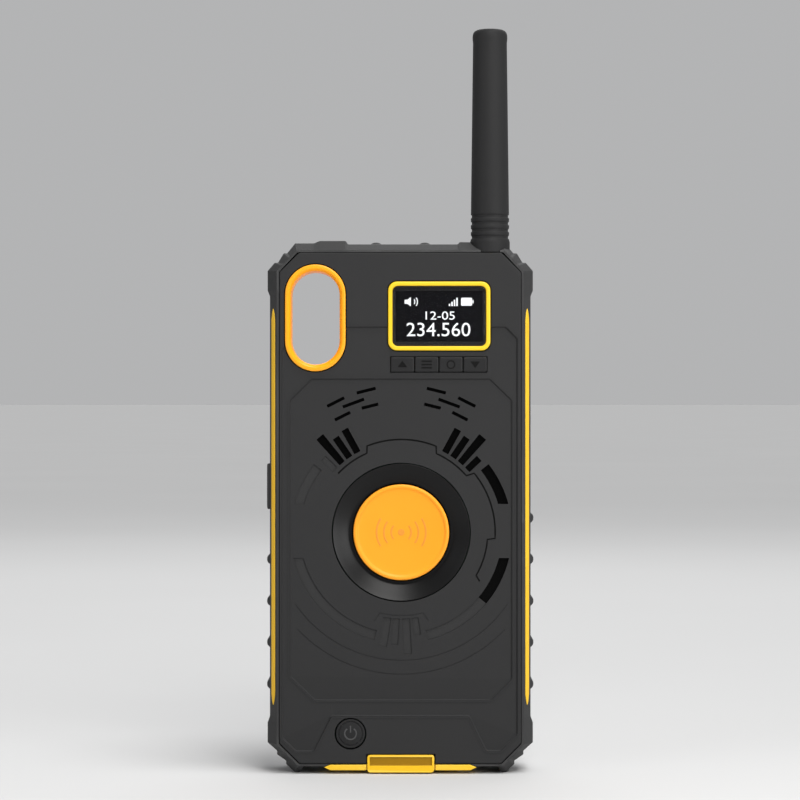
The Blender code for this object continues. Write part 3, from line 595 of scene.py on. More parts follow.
def top_rib(xc):
    return [(xc - t, TOP_Z, 0.6 * max(0.0, 1 - (abs(t) / 1.6) ** 2.4) ** 0.8) for t in (-1.6, -1.35, -1.0, -0.6, 0, 0.6, 1.0, 1.35, 1.6)]


RIGHT = right_side(RIBS_Z + (76.5,), [(18.2, 159.72, 0), (17.9, 159.65, 0), (17.4, 159.1, 0), (17.1, TOP_Z, 0)] + top_rib(7.4))
LEFT = mirror(right_side(RIBS_Z, [(26.2, 159.32, 0), (25.8, 159.4, 0), (24.5, 159.95, 0), (24.0, 160.05, 0), (16.7, 160.05, 0), (16.4, 159.95, 0), (15.8, 159.08, 0), (15.4, TOP_Z, 0)] + top_rib(7.3)))
OUTLINE = RIGHT + LEFT


def outline(rim=0.0, rib=0.0):
    return [(p[0] + rim * (q[0] - p[0]) + rib * r[0], p[1] + rim * (q[1] - p[1]) + rib * r[1]) for p, q, r in OUTLINE]


TALK = ((-40.2, -34.9), (-6.2, -1.2), (79.1, 92.9))
SIDE_KEY = ((-39.75, -36.2), (3.4, 7.4), (103.4, 122.5))
VOL_DOWN = ((36.2, 39.75), (3.4, 7.4), (100.5, 113.4))
VOL_UP = ((36.2, 39.75), (3.4, 7.4), (113.8, 126.75))
STRIPE_Z = (20.25, 139.65)


def stripe_bm(side, g, depth):
    z0, z1 = STRIPE_Z
    w = 1.05 + g
    loop = [(-w, z0 + 3.4), (-w * 0.55, z0 + 1.2), (0, z0 - g), (w * 0.55, z0 + 1.2), (w, z0 + 3.4),
            (w, z1 - 3.4), (w * 0.55, z1 - 1.2), (0, z1 + g), (-w * 0.55, z1 - 1.2), (-w, z1 - 3.4)]
    bm = plate_bm([loop], -depth[0], depth[1])
    a = math.atan2(2.2, 3.7)
    m = Matrix.Translation((side * 38.15 * MM, -8.5 * MM, 0)) @ Matrix.Rotation(side * (math.pi / 2 - a), 4, 'Z')
    bmesh.ops.transform(bm, matrix=m, verts=bm.verts)
    return bm


bumper = bm_to_object("armour_frame", loft_bm([
    (-10.3, outline(rim=1.0)), (-10.05, outline(rim=0.92)), (-7.1, outline(rim=0.13)), (-6.75, outline(rim=0.045)), (-6.4, outline(rim=0.01)),
    (-6.1, outline(rib=0.25)), (-5.75, outline(rib=0.75)), (-5.3, outline(rib=1.0)),
    (1.5, outline(rib=1.0)),
    (7.0, outline(rib=1.0)), (7.6, outline(rib=0.75)), (8.0, outline(rib=0.25)), (8.4, outline()),
    (9.3, outline(rim=0.03)), (10.1, outline(rim=0.13)), (10.55, outline(rim=0.27)), (BACK_Y, outline(rim=0.46))], fan=True))
POCKET = offset_loop(rounded([(-30.4, 2.6), (30.4, 2.6), (36.6, 8.8), (36.6, 150.5), (30.9, 156.6), (-30.9, 156.6), (-36.6, 150.5), (-36.6, 8.8)], 1.2, 4), -0.16)
BAY = rect(-35.75, 35.75, 2.9, 157.2, 5.5, 8)
LIP = rect(-34.3, 34.3, 14.2, 155.8, 4.5, 8)
carve(bumper, [plate_bm([POCKET], -12.0, 1.8)])
carve(bumper, [plate_bm([BAY], 1.7, 9.6)])
carve(bumper, [loft_bm([(9.5, LIP), (10.35, LIP), (10.6, offset_loop(LIP, 0.15)), (10.75, offset_loop(LIP, 0.4)), (11.5, offset_loop(LIP, 1.1))])])


def round_box(x, y, z, r=0.8, axis='X', n=5):
    """A box with the four edges along one axis rounded."""
    if axis == 'X':
        u, v, w = y, z, x
    else:
        u, v, w = x, z, y
    loop = rect(u[0], u[1], v[0], v[1], r, n)
    bm = plate_bm([loop], w[0], w[1])
    if axis == 'X':
        bmesh.ops.transform(bm, matrix=Matrix(((0, 1, 0, 0), (1, 0, 0, 0), (0, 0, 1, 0), (0, 0, 0, 1))), verts=bm.verts)
        bmesh.ops.reverse_faces(bm, faces=bm.faces)
    return bm


def grown(b, g, x=None):
    return [x or (b[0][0] - g, b[0][1] + g), (b[1][0] - g, b[1][1] + g), (b[2][0] - g, b[2][1] + g)]


carve(bumper, [round_box(*grown(TALK, 0.3, (-42, -34)), r=1.3), round_box(*grown(SIDE_KEY, 0.3, (-42, -35)), r=1.3),
               round_box((35, 42), (3.1, 7.7), (100.2, 127.05), r=1.3),
               plate_bm([[(-23.15, 1.6), (-21.0, 0.5), (-21.0, -1.0), (21.0, -1.0), (21.0, 0.5), (23.15, 1.6), (23.15, 1.9), (21.0, 2.78),
                          (10.75, 2.78), (10.75, 3.2), (-10.45, 3.2), (-10.45, 2.78), (-21.0, 2.78), (-23.15, 1.9)]], -12, 2.15)])
carve(bumper, [turned_z([(0, 162), (6.3, 162), (6.3, 155.0), (0, 155.0)], ANT, 64, False)])
carve(bumper, [stripe_bm(-1, 0.2, (2, 1.0)), stripe_bm(1, 0.2, (2, 1.0))])
soften(bumper, 0.12, 1, 32)
done(bumper, M["rubber"], "case", ["bumper_frame"])

for side, nm in ((-1, "side_stripe_left"), (1, "side_stripe_right")):
    s = bm_to_object("inlay_" + nm, stripe_bm(side, 0.0, (0.22, 0.85)))
    soften(s, 0.25, 3, 30)
    done(s, M["yellow"], "case", [nm])

# ================================================================ rear cover
OCT = octagon(COVER_W, COVER_Z[0], COVER_Z[1], 6.15, 5.95)
COVER = rounded(OCT, 1.1, 5)
LOWER_FACE = [(-35.2, 127.6), (-27, 127.6), (-20, 133.65), (31.5, 133.65), (34.8, 130.3), (34.8, 11.9), (29.9, 7.0),
              (25.9, 7.0), (20.8, 17.5), (-20.9, 17.5), (-26.2, 6.9), (-31.3, 6.9), (-35.2, 10.8)]
PANEL = [(-25.6, 22.2), (27.0, 22.2), (33.2, 28.4), (33.2, 111.8), (26.8, 118.05), (-26.5, 118.05), (-32.8, 111.8), (-32.8, 29.2)]
cover = bm_to_object("display_side_cover", loft_bm([
    (FACE_Y, offset_loop(COVER, -0.42)), (FACE_Y + 0.05, offset_loop(COVER, -0.2)), (FACE_Y + 0.2, offset_loop(COVER, -0.05)), (FACE_Y + 0.45, COVER), (-0.9, COVER)]))
carve(cover, [plate_bm([octagon(COVER_W - WALL, 6.5, COVER_Z[1] - WALL, 3.4, 5.4)], -8.9, 2.0)])
carve(cover, [plate_bm([disc_loop(p, 1.9, 24)], -9.6, 0.0) for p in SCREWS], 'UNION')
carve(cover, [plate_bm([disc_loop(p, 1.0, 16)], -5.2, 2.0) for p in SCREWS])
LOWER = rounded(LOWER_FACE, 1.0, 4)
PAN = rounded(PANEL, 0.9, 4)
carve(cover, [flared(LOWER, FACE_Y + 0.4, run=0.3)])
carve(cover, [flared(PAN, FACE_Y + 0.7, top=FACE_Y + 0.4, run=0.25, over=2.0)])
# raised lips that frame the two steps
carve(cover, [stroke_bm(offset_loop(LOWER, 0.75), 0.42, FACE_Y - 0.10, FACE_Y + 0.35, True)], 'UNION')
carve(cover, [stroke_bm(offset_loop(PAN, 0.70), 0.42, FACE_Y + 0.28, FACE_Y + 0.75, True)], 'UNION')

TOP_BARS = ((61.2, 35.3, 2.2, 2.1), (55.3, 34.6, 2.15, 2.1), (49.5, 37.7, 2.7, 2.05), (43.5, 32.3, 2.15, 2.0))
BOTTOM_BARS = ((-99.2, 34.7, 2.5), (-93.4, 33.8, 2.2), (-86.9, 36.6, 2.5), (-81.0, 31.2, 2.2))
DASHES = ((13.9, 43.85, 5.9), (26.7, 43.8, 5.8), (20.3, 41.4, 6.85), (13.9, 39.05, 5.15), (26.8, 39.1, 5.2))


def speaker_slots():
    """The open slots in front of the speaker, at the top and on the right."""
    out = []
    for a, r, w1, w0 in TOP_BARS:
        out.append(bar(DISC, a, 27.3, r, w0, w1))
        if a > 45:
            out.append(bar(DISC, 180 - a, 27.3, r, w0, w1))
    for a, r, ln in DASHES:
        out += [dash(DISC, 90 - a, r, ln), dash(DISC, 90 + a, r, ln)]
    out += [arc_slot(DISC, 30.3, 33.3, 15.5, 38, 1), arc_slot(DISC, 30.3, 33.3, -40, -14, 2, 24)]
    return out


def blind_slots():
    """The same pattern carried on at the left and the bottom as shallow closed grooves."""
    out = [bar(DISC, a, 25.9, r, w) for a, r, w in BOTTOM_BARS]
    out += [bar(DISC, 180 - a, 27.3, r, w0, w1) for a, r, w1, w0 in TOP_BARS if a < 45]
    out += [arc_slot(DISC, 30.3, 33.3, 142, 164.5, 2), arc_slot(DISC, 30.3, 33.3, -76, -39.6, 0, 36),
            arc_slot(DISC, 30.3, 33.3, -166, -104, 1, 48)]
    return out


carve(cover, [plate_bm([rounded(s, 0.18, 2) if len(s) == 4 else s], -12, -8.0) for s in speaker_slots()])
carve(cover, [plate_bm([rounded(s, 0.18, 2) if len(s) == 4 else s], -12, FACE_Y + 1.05) for s in blind_slots()])
carve(cover, [plate_bm([stadium(CAM, 18.8, 32.7)], -12, -8.0),
              plate_bm([rect(-3.95, 27.35, 126.6, 147.9, 2.9)], -12, -8.0),
              plate_bm([rect(KEY_X[0] - KEY_W / 2 - 0.25, KEY_X[3] + KEY_W / 2 + 0.25, KEY_Z - KEY_H / 2 - 0.25, KEY_Z + KEY_H / 2 + 0.25)], -12, -8.0),
              plate_bm([disc_loop(DISC, DISH_R + 0.3, 128)], -12, -8.0),
              plate_bm([disc_loop(POWER, 4.8, 64)], -12, -8.0),
              box_bm((-10.3, 10.6), (-12, -9.3), (0, 5.9)),
              box_bm((-5.5, 5.5), (-4.5, -0.7), (0, 8.0)),
              box_bm(*grown(TALK, 0.3, (-38, -34)))])
carve(cover, [turned_z([(0, 158), (3.4, 158), (3.4, 153), (0, 153)], ANT, 32, False)])

# gear-like outline round the disc and two fine arcs across the lower panel
GEAR = [(-30.0, -4.7, 25.95), (-3.7, 39.0, 28.2), (41.0, 66.0, 25.9), (68.0, 111.6, 27.9), (113.5, 137.0, 25.9)]
gear = [polar(DISC, 27.8, -32.0)]
for a0, a1, r in GEAR:
    k = max(4, int((a1 - a0) / 2.5))
    gear += [polar(DISC, r, a0 + (a1 - a0) * i / k) for i in range(k + 1)]
gear_low = [polar(DISC, 27.8, 253.0), polar(DISC, 25.0, 255.0)] + [polar(DISC, 25.0, 257.5 + 2.5 * i) for i in range(11)] + [polar(DISC, 25.0, 285.0), polar(DISC, 27.8, 287.0)]
G_Y = FACE_Y + 0.7
arcs = [[polar(DISC, r, a0 + (a1 - a0) * i / 60) for i in range(61)] for r, a0, a1 in ((38.4, -146, -34), (42.6, -137, -43))]
carve(cover, [stroke_bm(gear, 0.5, G_Y - 1.0, G_Y + 0.42)])
carve(cover, [stroke_bm(gear_low, 0.32, G_Y - 1.0, G_Y + 0.12)])
carve(cover, [stroke_bm(a, 0.32, G_Y - 1.0, G_Y + 0.14) for a in arcs])
soften(cover, 0.10, 1, 32)
done(cover, M["shell"], "case", ["rear_cover"])


# The floor of the gear groove is painted near-black: painted shade in the groove.
def in_gear(c, n):
    r = math.hypot(c[0] - DISC[0], c[2] - DISC[1])
    return G_Y + 0.05 < c[1] < G_Y + 0.6 and 24.6 < r < 28.7 and abs(n[1]) > 0.5 and c[1] > G_Y + 0.3


paint(cover, M["groove"], in_gear)


# The floors of the shallow closed grooves at the left and bottom are painted lighter than the cover: painted light on
# the groove floors.
def in_blind(c, n):
    r = math.hypot(c[0] - DISC[0], c[2] - DISC[1])
    a = math.degrees(math.atan2(c[2] - DISC[1], c[0] - DISC[0]))
    return abs(c[1] - (FACE_Y + 1.05)) < 0.06 and n[1] < -0.5 and 25.5 < r < 40 and (a > 130 or a < -38)


paint(cover, M["blind"], in_blind)

# ================================================================ phone tray
tray = bm_to_object("phone_bay_tray", plate_bm([COVER], 0.3, 1.5))
carve(tray, [loft_bm([(1.0, offset_loop(octagon(30.0, 16.0, 149.0, 3.0, 3.0), 0.0)), (1.65, octagon(30.0, 16.0, 149.0, 3.0, 3.0)), (1.8, offset_loop(octagon(30.0, 16.0, 149.0, 3.0, 3.0), -0.2))])], 'UNION')
carve(tray, [box_bm((-35.2, 35.2), (1.2, 9.1), (9.2, 12.7))], 'UNION')
carve(tray, [box_bm((-29.5, 29.5), (1.2, 9.1), (3.3, 9.4))], 'UNION')
carve(tray, [box_bm((-27.8, 27.8), (-1, 7.8), (4.9, 11.3))])
carve(tray, [plate_bm([stadium(CAM, 17.2, 30.7)], -1, 3)] + [plate_bm([disc_loop(p, 2.0, 32)], 0.7, 3) for p in SCREWS])
carve(tray, [plate_bm([disc_loop(p, 1.0, 16)], -1, 0.9) for p in SCREWS])
lines = []
for z in (28.0, 52.0, 76.0, 100.0):
    lines.append(stroke_bm([(-27.5, z), (0.0, z + 9.0), (27.5, z)], 0.5, 1.62, 3.0))
lines.append(stroke_bm(offset_loop(rounded(octagon(30.0, 16.0, 149.0, 3.0, 3.0), 1.0, 4), -1.3), 0.4, 1.62, 3.0, True))
carve(tray, lines[:4])
soften(tray, 0.10, 1, 32)
done(tray, M["tray"], "case", ["phone_tray"])
paint(tray, M["foam"], lambda c, n: c[1] > 1.75 and n[1] > 0.5 and c[2] > 14)

# ================================================================ camera ring
ring = bm_to_object("camera_window_ring", loft_bm([(y, stadium(CAM, 18.2 - 2 * d, 32.1 - 2 * d, 32)) for y, d in
                    ((-10.8, 0.55), (-10.78, 0.34), (-10.68, 0.14), (-10.5, 0.03), (-10.25, 0.0), (-8.6, 0.0))]))
carve(ring, [plate_bm([stadium(CAM, 16.6, 30.1, 32)], -8.9, 1.2)], 'UNION')
carve(ring, [loft_bm([(y, stadium(CAM, 14.55 + 2 * d, 28.0 + 2 * d, 32)) for y, d in
                      ((-12.0, 1.6), (-10.82, 0.95), (-10.5, 0.55), (-10.1, 0.22), (-9.6, 0.05), (-9.0, 0.0), (3.0, 0.0))])])
soften(ring, 0.0)
done(ring, M["ring"], "case", ["camera_ring"])

# ================================================================ display
bez = bm_to_object("display_frame", loft_bm([(y, rect(-3.65 + d, 27.05 - d, 126.9 + d, 147.6 - d, 2.7 - d, 8)) for y, d in
                   ((-10.8, 0.42), (-10.77, 0.22), (-10.65, 0.07), (-10.45, 0.0), (-9.5, 0.0))]))
carve(bez, [loft_bm([(y, rect(-2.35 - d, 25.75 + d, 128.2 - d, 146.3 + d, 1.7 + d, 8)) for y, d in ((-12, 1.2), (-10.82, 0.32), (-10.65, 0.1), (-10.45, 0.0), (-9.0, 0.0))])])
soften(bez, 0.0)
done(bez, M["bezel"], "case", ["display_bezel"])
lens = bm_to_object("display_lens", loft_bm([(y, rect(-2.05 + d, 25.45 - d, 128.5 + d, 146.0 - d, 1.4, 8)) for y, d in ((-10.5, 0.2), (-10.44, 0.05), (-10.3, 0.0), (-9.6, 0.0))]))
soften(lens, 0.0)
done(lens, M["glass"], "case", ["display_window"])
pan = bm_to_object("display_panel", loft_bm([(y, rect(-2.8 + d, 26.2 - d, 127.9 + d, 146.6 - d, 0.6, 4)) for y, d in ((-8.45, 0.1), (-8.35, 0.0), (-6.6, 0.0))]))
soften(pan, 0.0)
done(pan, M["panel_black"], "case", ["display_module"])


def lit(name, bms):
    ob = bm_to_object(name, merged(bms), weld=False)
    return done(ob, M["lit"], "case")


def thin(loop, y0=-8.62, y1=-8.50):
    return plate_bm([loop], y0, y1)


def figures(name, text, x0, x1, z0, z1):
    """A row of figures in Blender's own typeface, fitted to a box on the panel."""
    cu = bpy.data.curves.new(name, 'FONT')
    cu.body = text
    cu.size = 1.0
    cu.resolution_u = 4
    tmp = bpy.data.objects.new(name, cu)
    SCENE.collection.objects.link(tmp)
    bpy.context.view_layer.update()
    me = bpy.data.meshes.new_from_object(tmp.evaluated_get(bpy.context.evaluated_depsgraph_get()))
    bpy.data.objects.remove(tmp)
    bpy.data.curves.remove(cu)
    bm = bmesh.new()
    bm.from_mesh(me)
    bpy.data.meshes.remove(me)
    xs = [v.co.x for v in bm.verts]
    ys = [v.co.y for v in bm.verts]
    for v in bm.verts:
        u = (v.co.x - min(xs)) / (max(xs) - min(xs))
        w = (v.co.y - min(ys)) / (max(ys) - min(ys))
        v.co = Vector(((x0 + u * (x1 - x0)) * MM, -8.50 * MM, (z0 + w * (z1 - z0)) * MM))
    ext = bmesh.ops.extrude_face_region(bm, geom=bm.faces[:])
    for v in ext["geom"]:
        if isinstance(v, bmesh.types.BMVert):
            v.co.y = -8.62 * MM
    bmesh.ops.recalc_face_normals(bm, faces=bm.faces)
    return lit(name, [bm])


figures("figures_large", "234.560", 1.9, 21.1, 131.2, 135.3)
figures("figures_small", "12-05", 7.6, 16.4, 136.2, 138.7)
lit("sound_symbol", [thin([(1.3, 141.0), (2.1, 141.0), (3.2, 140.2), (3.2, 143.0), (2.1, 142.2), (1.3, 142.2)])])
lit("sound_waves", [stroke_bm([polar((3.3, 141.6), r, a) for a in range(-40, 41, 10)], 0.28, -8.62, -8.50) for r in (1.1, 1.9)])
lit("signal_bars", [thin(rect(14.6 + 0.75 * i, 15.05 + 0.75 * i, 140.3, 141.0 + 0.6 * i)) for i in range(4)])
lit("battery_symbol", [thin(rect(18.3, 21.6, 140.4, 142.8, 0.3, 3)), thin(rect(21.72, 22.05, 141.1, 142.1))])

# ================================================================ function keys
ICONS = {
    "up": [[(-1.1, -0.6), (1.1, -0.6), (0.0, 0.9)]],
    "menu": [rect(-1.2, 1.2, z - 0.17, z + 0.17) for z in (-0.75, 0.0, 0.75)],
    "mode": None,
    "down": [[(-1.1, 0.7), (0.0, -0.8), (1.1, 0.7)]],
}
for i, nm in enumerate(("up", "menu", "mode", "down")):
    x = KEY_X[i]
    k = bm_to_object("cap_key_" + nm, loft_bm([(y, rect(x - 3.53 + d, x + 3.53 - d, KEY_Z - 2.28 + d, KEY_Z + 2.28 - d, 0.45, 4)) for y, d in
                     ((-10.55, 0.40), (-10.50, 0.2), (-10.38, 0.06), (-10.2, 0.0), (-8.75, 0.0))]))
    soften(k, 0.0)
    done(k, M["key"], "key_%s_cap" % nm, ["key_" + nm])
    if nm == "mode":
        bms = [stroke_bm([polar((x, KEY_Z), 1.15, a) for a in range(0, 360, 12)], 0.34, -10.62, -10.5, True)]
    else:
        bms = [plate_bm([[(x + 1.3 * u, KEY_Z + 1.3 * v) for u, v in loop]], -10.62, -10.5) for loop in ICONS[nm]]
    ic = bm_to_object("mark_key_" + nm, merged(bms), weld=False)
    soften(ic, 0.04, 1, 30)
    done(ic, M["key_mark"], "key_%s_cap" % nm)

# ================================================================ push-to-talk disc and dish
dish = bm_to_object("disc_dish", turned_y([(20.6, -9.70), (20.52, -9.74), (20.4, -9.72), (20.25, -9.60), (18.8, -9.10), (17.2, -8.50), (16.0, -8.05), (15.7, -7.97), (15.3, -7.94), (14.85, -7.94), (14.75, -7.84),
                                                   (14.75, -5.0), (16.6, -5.0), (20.6, -8.6)], DISC, 144))
soften(dish, 0.0)
done(dish, M["gloss"], "case", ["ptt_recess"])
prof = [(0, -9.10)]
for i in range(1, 13):
    r = 12.7 * i / 12
    prof.append((r, -9.10 - 0.42 * (i / 12) ** 2.2))
prof += [(12.95, -9.60), (13.15, -9.74), (13.32, -9.90), (13.5, -9.98), (13.75, -10.0), (14.0, -9.97), (14.22, -9.85), (14.36, -9.66), (14.4, -9.4),
         (14.4, -4.7), (15.8, -4.7), (15.8, -4.1), (13.2, -4.1), (13.2, -8.0), (3.0, -8.0), (3.0, -4.7), (0, -4.7)]
disc = bm_to_object("talk_disc", turned_y(prof, DISC, 144, False))
soften(disc, 0.0)
done(disc, M["disc"], "ptt", ["ptt_button"])
# The side wall of the talk disc is painted near-black: painted shade, which also keeps the orange wall out of the
# dish's reflections.
paint(disc, M["groove"], lambda c, n: math.hypot(c[0] - DISC[0], c[2] - DISC[1]) > 14.33 and c[1] > -9.5)
# a generic wave symbol, slightly raised
waves = []
for r, half in ((3.0, 42), (5.2, 38), (7.4, 34)):
    for base in (0, 180):
        pts = [polar(DISC, r, base + a) for a in range(-half, half + 1, 4)]
        waves.append((r, stroke_bm(pts, 0.55, 0, 1)))


def drape(bm, lift=0.09, sink=0.08):
    """Lay a flat band on the dished surface of the disc."""
    for v in bm.verts:
        r = math.hypot(v.co.x / MM - DISC[0], v.co.z / MM - DISC[1])
        top = -9.10 - 0.42 * min(1.0, r / 12.7) ** 2.2
        v.co.y = (top - lift if v.co.y / MM < 0.5 else top + sink) * MM
    return bm


mark = bm_to_object("talk_mark", merged([drape(b) for _, b in waves] + [drape(plate_bm([disc_loop(DISC, 1.0, 24)], 0, 1))]), weld=False)
soften(mark, 0.03, 1, 30)
done(mark, M["mark"], "ptt")

# ================================================================ speaker plate
gr = bm_to_object("speaker_plate", plate_bm([rounded(octagon(34.1, 20.0, 118.4, 8.0, 6.0), 1.0, 4)], -8.55, -8.0))
carve(gr, [plate_bm([disc_loop(DISC, 20.9, 96)], -10, -7)] + [plate_bm([disc_loop(p, 2.15, 24)], -10, -7) for p in SCREWS if 21 < p[1] < 119])
carve(gr, [plate_bm([disc_loop((0.3 + x, 106 + z), 1.4, 24)], -10, -7) for x, z in ((0, 0), (6, 4), (-6, 4), (6, -5), (-6, -5), (0, 8))])
soften(gr, 0.0)
done(gr, M["grille"], "case", ["grille_plate"])

# ================================================================ power button
pw = bm_to_object("power_cap", turned_y([(0, -10.30), (3.1, -10.30), (3.35, -10.22), (3.45, -10.05), (3.7, -10.05), (3.8, -10.25), (4.05, -10.30), (4.3, -10.2), (4.43, -10.0), (4.45, -9.7), (4.45, -8.3), (0, -8.3)], POWER, 72, False))
soften(pw, 0.0)
done(pw, M["key"], "power_cap", ["power_button"])
sym = [stroke_bm([polar(POWER, 1.75, 125 + a) for a in range(0, 291, 10)], 0.42, -10.38, -10.25), stroke_bm([(POWER[0], POWER[1] + 0.3), (POWER[0], POWER[1] + 2.35)], 0.42, -10.38, -10.25)]
ps = bm_to_object("power_mark", merged(sym), weld=False)
soften(ps, 0.03, 1, 30)
done(ps, M["emboss"], "power_cap")

# ================================================================ side keys
for nm, b, body, s in (("side_talk_key", TALK, "talk_cap", -1), ("side_key_cover", SIDE_KEY, "side_cap", -1),
                       ("volume_up_cover", VOL_UP, "volume_up_cap", 1), ("volume_down_cover", VOL_DOWN, "volume_down_cap", 1)):
    (x0, x1), (y0, y1), (z0, z1) = b
    xs = [(x1, 0.0), (x0 + 0.5, 0.0), (x0 + 0.25, 0.06), (x0 + 0.08, 0.2), (x0, 0.45)] if s < 0 else [(x0, 0.0), (x1 - 0.5, 0.0), (x1 - 0.25, 0.06), (x1 - 0.08, 0.2), (x1, 0.45)]
    bm = loft_bm([(x, rect(y0 + d, y1 - d, z0 + d, z1 - d, 1.2, 6)) for x, d in xs])
    bmesh.ops.transform(bm, matrix=Matrix(((0, 1, 0, 0), (1, 0, 0, 0), (0, 0, 1, 0), (0, 0, 0, 1))), verts=bm.verts)
    k = bm_to_object("pad_" + nm, bm)
    zc, step = (z0 + z1) / 2, 1.7 if nm == "side_talk_key" else 1.4
    n = 5 if nm == "side_talk_key" else 3
    xo = x0 if s < 0 else x1
    grooves = [box_bm((xo - 0.18, xo + 0.6) if s > 0 else (xo - 0.6, xo + 0.18), (y0 + 1.0, y1 - 1.0), (zc + (j - (n - 1) / 2) * step - 0.2, zc + (j - (n - 1) / 2) * step + 0.2)) for j in range(n)]
    carve(k, grooves)
    soften(k, 0.05, 1, 32)
    done(k, M["rubber"], body, [nm])

# ================================================================ port strip and flap
STRIP = [(-22.9, 1.8), (-21.0, 0.9), (21.0, 0.9), (22.9, 1.8), (21.0, 2.6), (-21.0, 2.6)]
strip = bm_to_object("port_strip", loft_bm([(-10.4, offset_loop(STRIP, -0.18)), (-10.25, STRIP), (1.7, STRIP), (1.8, offset_loop(STRIP, -0.1))]))
carve(strip, [box_bm((-5.5, 5.5), (-4.5, -0.7), (0, 4)), box_bm((-10.3, 10.6), (-12, -9.3), (0, 4))])
soften(strip, 0.06, 1, 32)
done(strip, M["yellow"], "case", ["port_surround"])
flap = bm_to_object("port_cover_flap", box_bm((-10.6, 11.2), (-10.6, 1.2), (0.1, 0.6)))
carve(flap, [loft_bm([(y, rounded([(-9.9 + d, 0.3), (10.2 - d, 0.3), (10.2 - d, 5.55 - d), (-9.9 + d, 5.55 - d)], 0.9, 5)) for y, d in ((-10.6, 0.12), (-10.5, 0.0), (-9.6, 0.0))]), box_bm((-9.9, 10.2), (-10.5, -9.6), (0.3, 2.0))], 'UNION')
carve(flap, [box_bm((-4.9, 4.9), (-4.0, -1.2), (0.4, 2.4))], 'UNION')
carve(flap, [loft_bm([(-12.0, rect(-9.5, 9.8, 2.1, 5.1)), (-10.62, rect(-9.2, 9.5, 2.35, 4.95)), (-10.15, rect(-8.9, 9.2, 2.55, 4.7))])])
soften(flap, 0.09, 2, 32)
done(flap, M["yellow"], "flap", ["port_flap"])
# The recess in the flap is painted a darker yellow: painted shade in the recess.
paint(flap, M["recess"], lambda c, n: c[1] > -10.58 and c[1] < -10.05 and 1.9 < c[2] < 4.9 and -9.5 < c[0] < 9.8)

# ================================================================ antenna
prof = [(0, 223.95), (2.4, 223.93), (3.9, 223.75), (4.6, 223.4), (5.0, 222.9), (5.2, 222.2), (5.26, 221.5), (5.22, 220.6), (5.12, 219.9)]
for i in range(1, 13):
    prof.append((5.12 + 0.63 * i / 12, 219.9 - (219.9 - 168.6) * i / 12))
for z in (168.1, 166.0, 163.9, 161.8):
    prof += [(5.75, z), (5.72, z - 0.15), (5.5, z - 0.35), (5.47, z - 0.5), (5.47, z - 0.85), (5.5, z - 1.0), (5.74, z - 1.2), (5.79, z - 1.35)]
prof += [(5.85, 160.2), (5.95, 159.9), (6.0, 159.6), (6.0, 156.95), (5.93, 156.6), (5.7, 156.4),
         (4.8, 156.4), (4.8, 159.1), (4.6, 159.1), (4.6, 168.2), (3.0, 168.2), (3.0, 215.5), (0, 215.5)]
whip = bm_to_object("antenna_sleeve", turned_z(prof, ANT, 96, False))
soften(whip, 0.0)
done(whip, M["antenna"], "antenna", ["antenna_whip"])

# ================================================================ inner CAD pieces keep their shape and get their finish
FINISH = {"foam": "foam", "component": "component", "steel": "steel", "gold": "gold", "board": "board", "battery_wrap": "battery",
          "gloss_black": "gloss", "display_panel": "panel_black", "shell": "tray", "rubber": "rubber"}
for n, ob in frame["nodes"].items():
    key = FINISH.get(SLOT_OF[n])
    if n == "grille_plate":
        key = "grille"
    if key and not ob.hide_render:
        ob.data.materials.clear()
        ob.data.materials.append(M[key])

# ================================================================ studio
floor_me = bpy.data.meshes.new("studio_floor")
bm = bmesh.new()
bmesh.ops.create_grid(bm, x_segments=2, y_segments=2, size=60.0)
bm.to_mesh(floor_me)
bm.free()
floor = bpy.data.objects.new("studio_floor", floor_me)
SCENE.collection.objects.link(floor)
floor.location = (0, 0, -0.0002)
fm, nt, b, new, link = base_material("floor_pale")
co = new("ShaderNodeTexCoord")
nz = new("ShaderNodeTexNoise")
nz.inputs["Scale"].default_value = 3.0
link(co.outputs["Object"], nz.inputs["Vector"])
mr = new("ShaderNodeMapRange")
mr.inputs["To Min"].default_value = 0.55
mr.inputs["To Max"].default_value = 0.58
link(nz.outputs["Fac"], mr.inputs["Value"])
cc = new("ShaderNodeCombineColor")
for s in ("Red", "Green", "Blue"):
    link(mr.outputs["Result"], cc.inputs[s])
link(cc.outputs["Color"], b.inputs["Base Color"])
b.inputs["Roughness"].default_value = 0.85
floor.data.materials.append(fm)

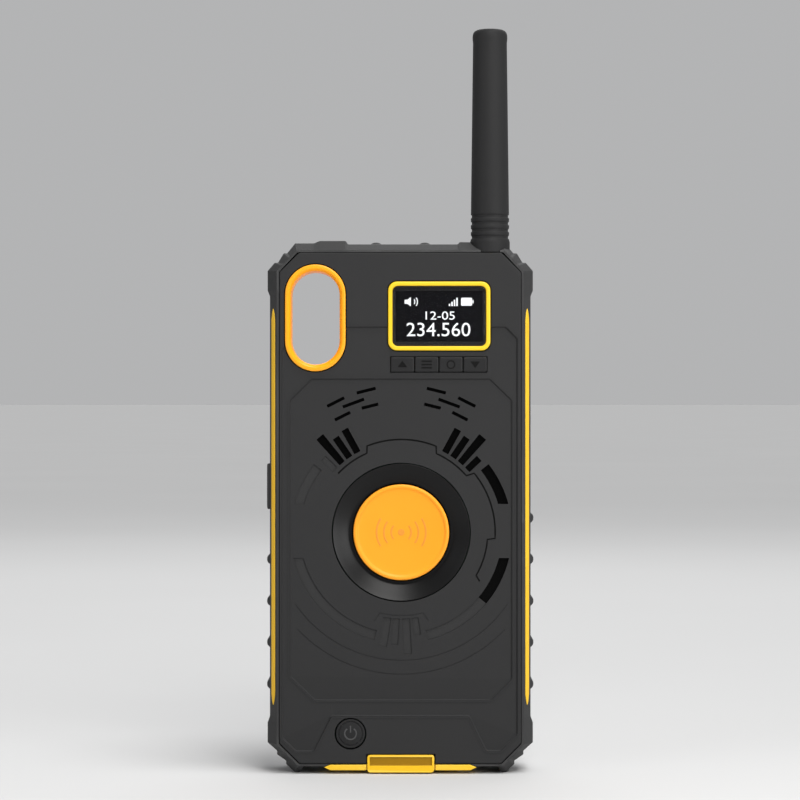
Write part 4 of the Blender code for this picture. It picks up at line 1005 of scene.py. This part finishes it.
world = bpy.data.worlds.new("studio_world")
SCENE.world = world
world.use_nodes = True
wt = world.node_tree
bg = wt.nodes["Background"]
bg.inputs["Color"].default_value = (0.985, 0.99, 1.0, 1)
wc = wt.nodes.new("ShaderNodeTexCoord")
ws = wt.nodes.new("ShaderNodeSeparateXYZ")
wr = wt.nodes.new("ShaderNodeMapRange")
wr.inputs["From Min"].default_value = -0.35
wr.inputs["From Max"].default_value = 0.45
wr.inputs["To Min"].default_value = 0.06
wr.inputs["To Max"].default_value = 0.46
wt.links.new(wc.outputs["Generated"], ws.inputs["Vector"])
wt.links.new(ws.outputs["Y"], wr.inputs["Value"])
wt.links.new(wr.outputs["Result"], bg.inputs["Strength"])


def area(name, loc, target, size, power, colour=(1, 1, 1)):
    li = bpy.data.lights.new(name, 'AREA')
    li.shape = 'RECTANGLE'
    li.size, li.size_y = size
    li.energy = power
    li.color = colour
    ob = bpy.data.objects.new(name, li)
    SCENE.collection.objects.link(ob)
    ob.location = loc
    ob.rotation_euler = (Vector(target) - Vector(loc)).to_track_quat('-Z', 'Y').to_euler()
    return ob


area("top_light", (0.12, -0.50, 0.47), (0, 0, 0.11), (0.28, 0.22), 2.35, (1.0, 0.99, 0.97))
area("side_light", (0.52, -0.54, 0.15), (0, 0, 0.10), (0.24, 0.40), 2.6)
area("fill_light", (-0.8, -0.6, 0.45), (0, 0, 0.10), (0.6, 0.6), 2.0, (0.97, 0.98, 1.0))
area("back_light", (0.1, 0.9, 0.9), (0, 0.2, 0.0), (1.2, 0.6), 4.0)
sun = bpy.data.lights.new("room_light", 'SUN')
sun.energy = 2.1
sun.angle = math.radians(28)
sun_ob = bpy.data.objects.new("room_light", sun)
SCENE.collection.objects.link(sun_ob)
sun_ob.rotation_euler = Vector((-0.25, 0.22, -0.94)).to_track_quat('-Z', 'Y').to_euler()

cam_data = bpy.data.cameras.new("camera")
cam_data.sensor_width = 36.0
D = 0.80
cam_data.lens = 36.0 * D / 0.24
cam_data.clip_start = 0.01
cam = bpy.data.objects.new("camera", cam_data)
SCENE.collection.objects.link(cam)
cam.location = (-0.075 * MM, FACE_Y * MM - D, 112.05 * MM)
cam.rotation_euler = (math.pi / 2, 0, 0)
SCENE.camera = cam
SCENE.view_settings.view_transform = 'Standard'
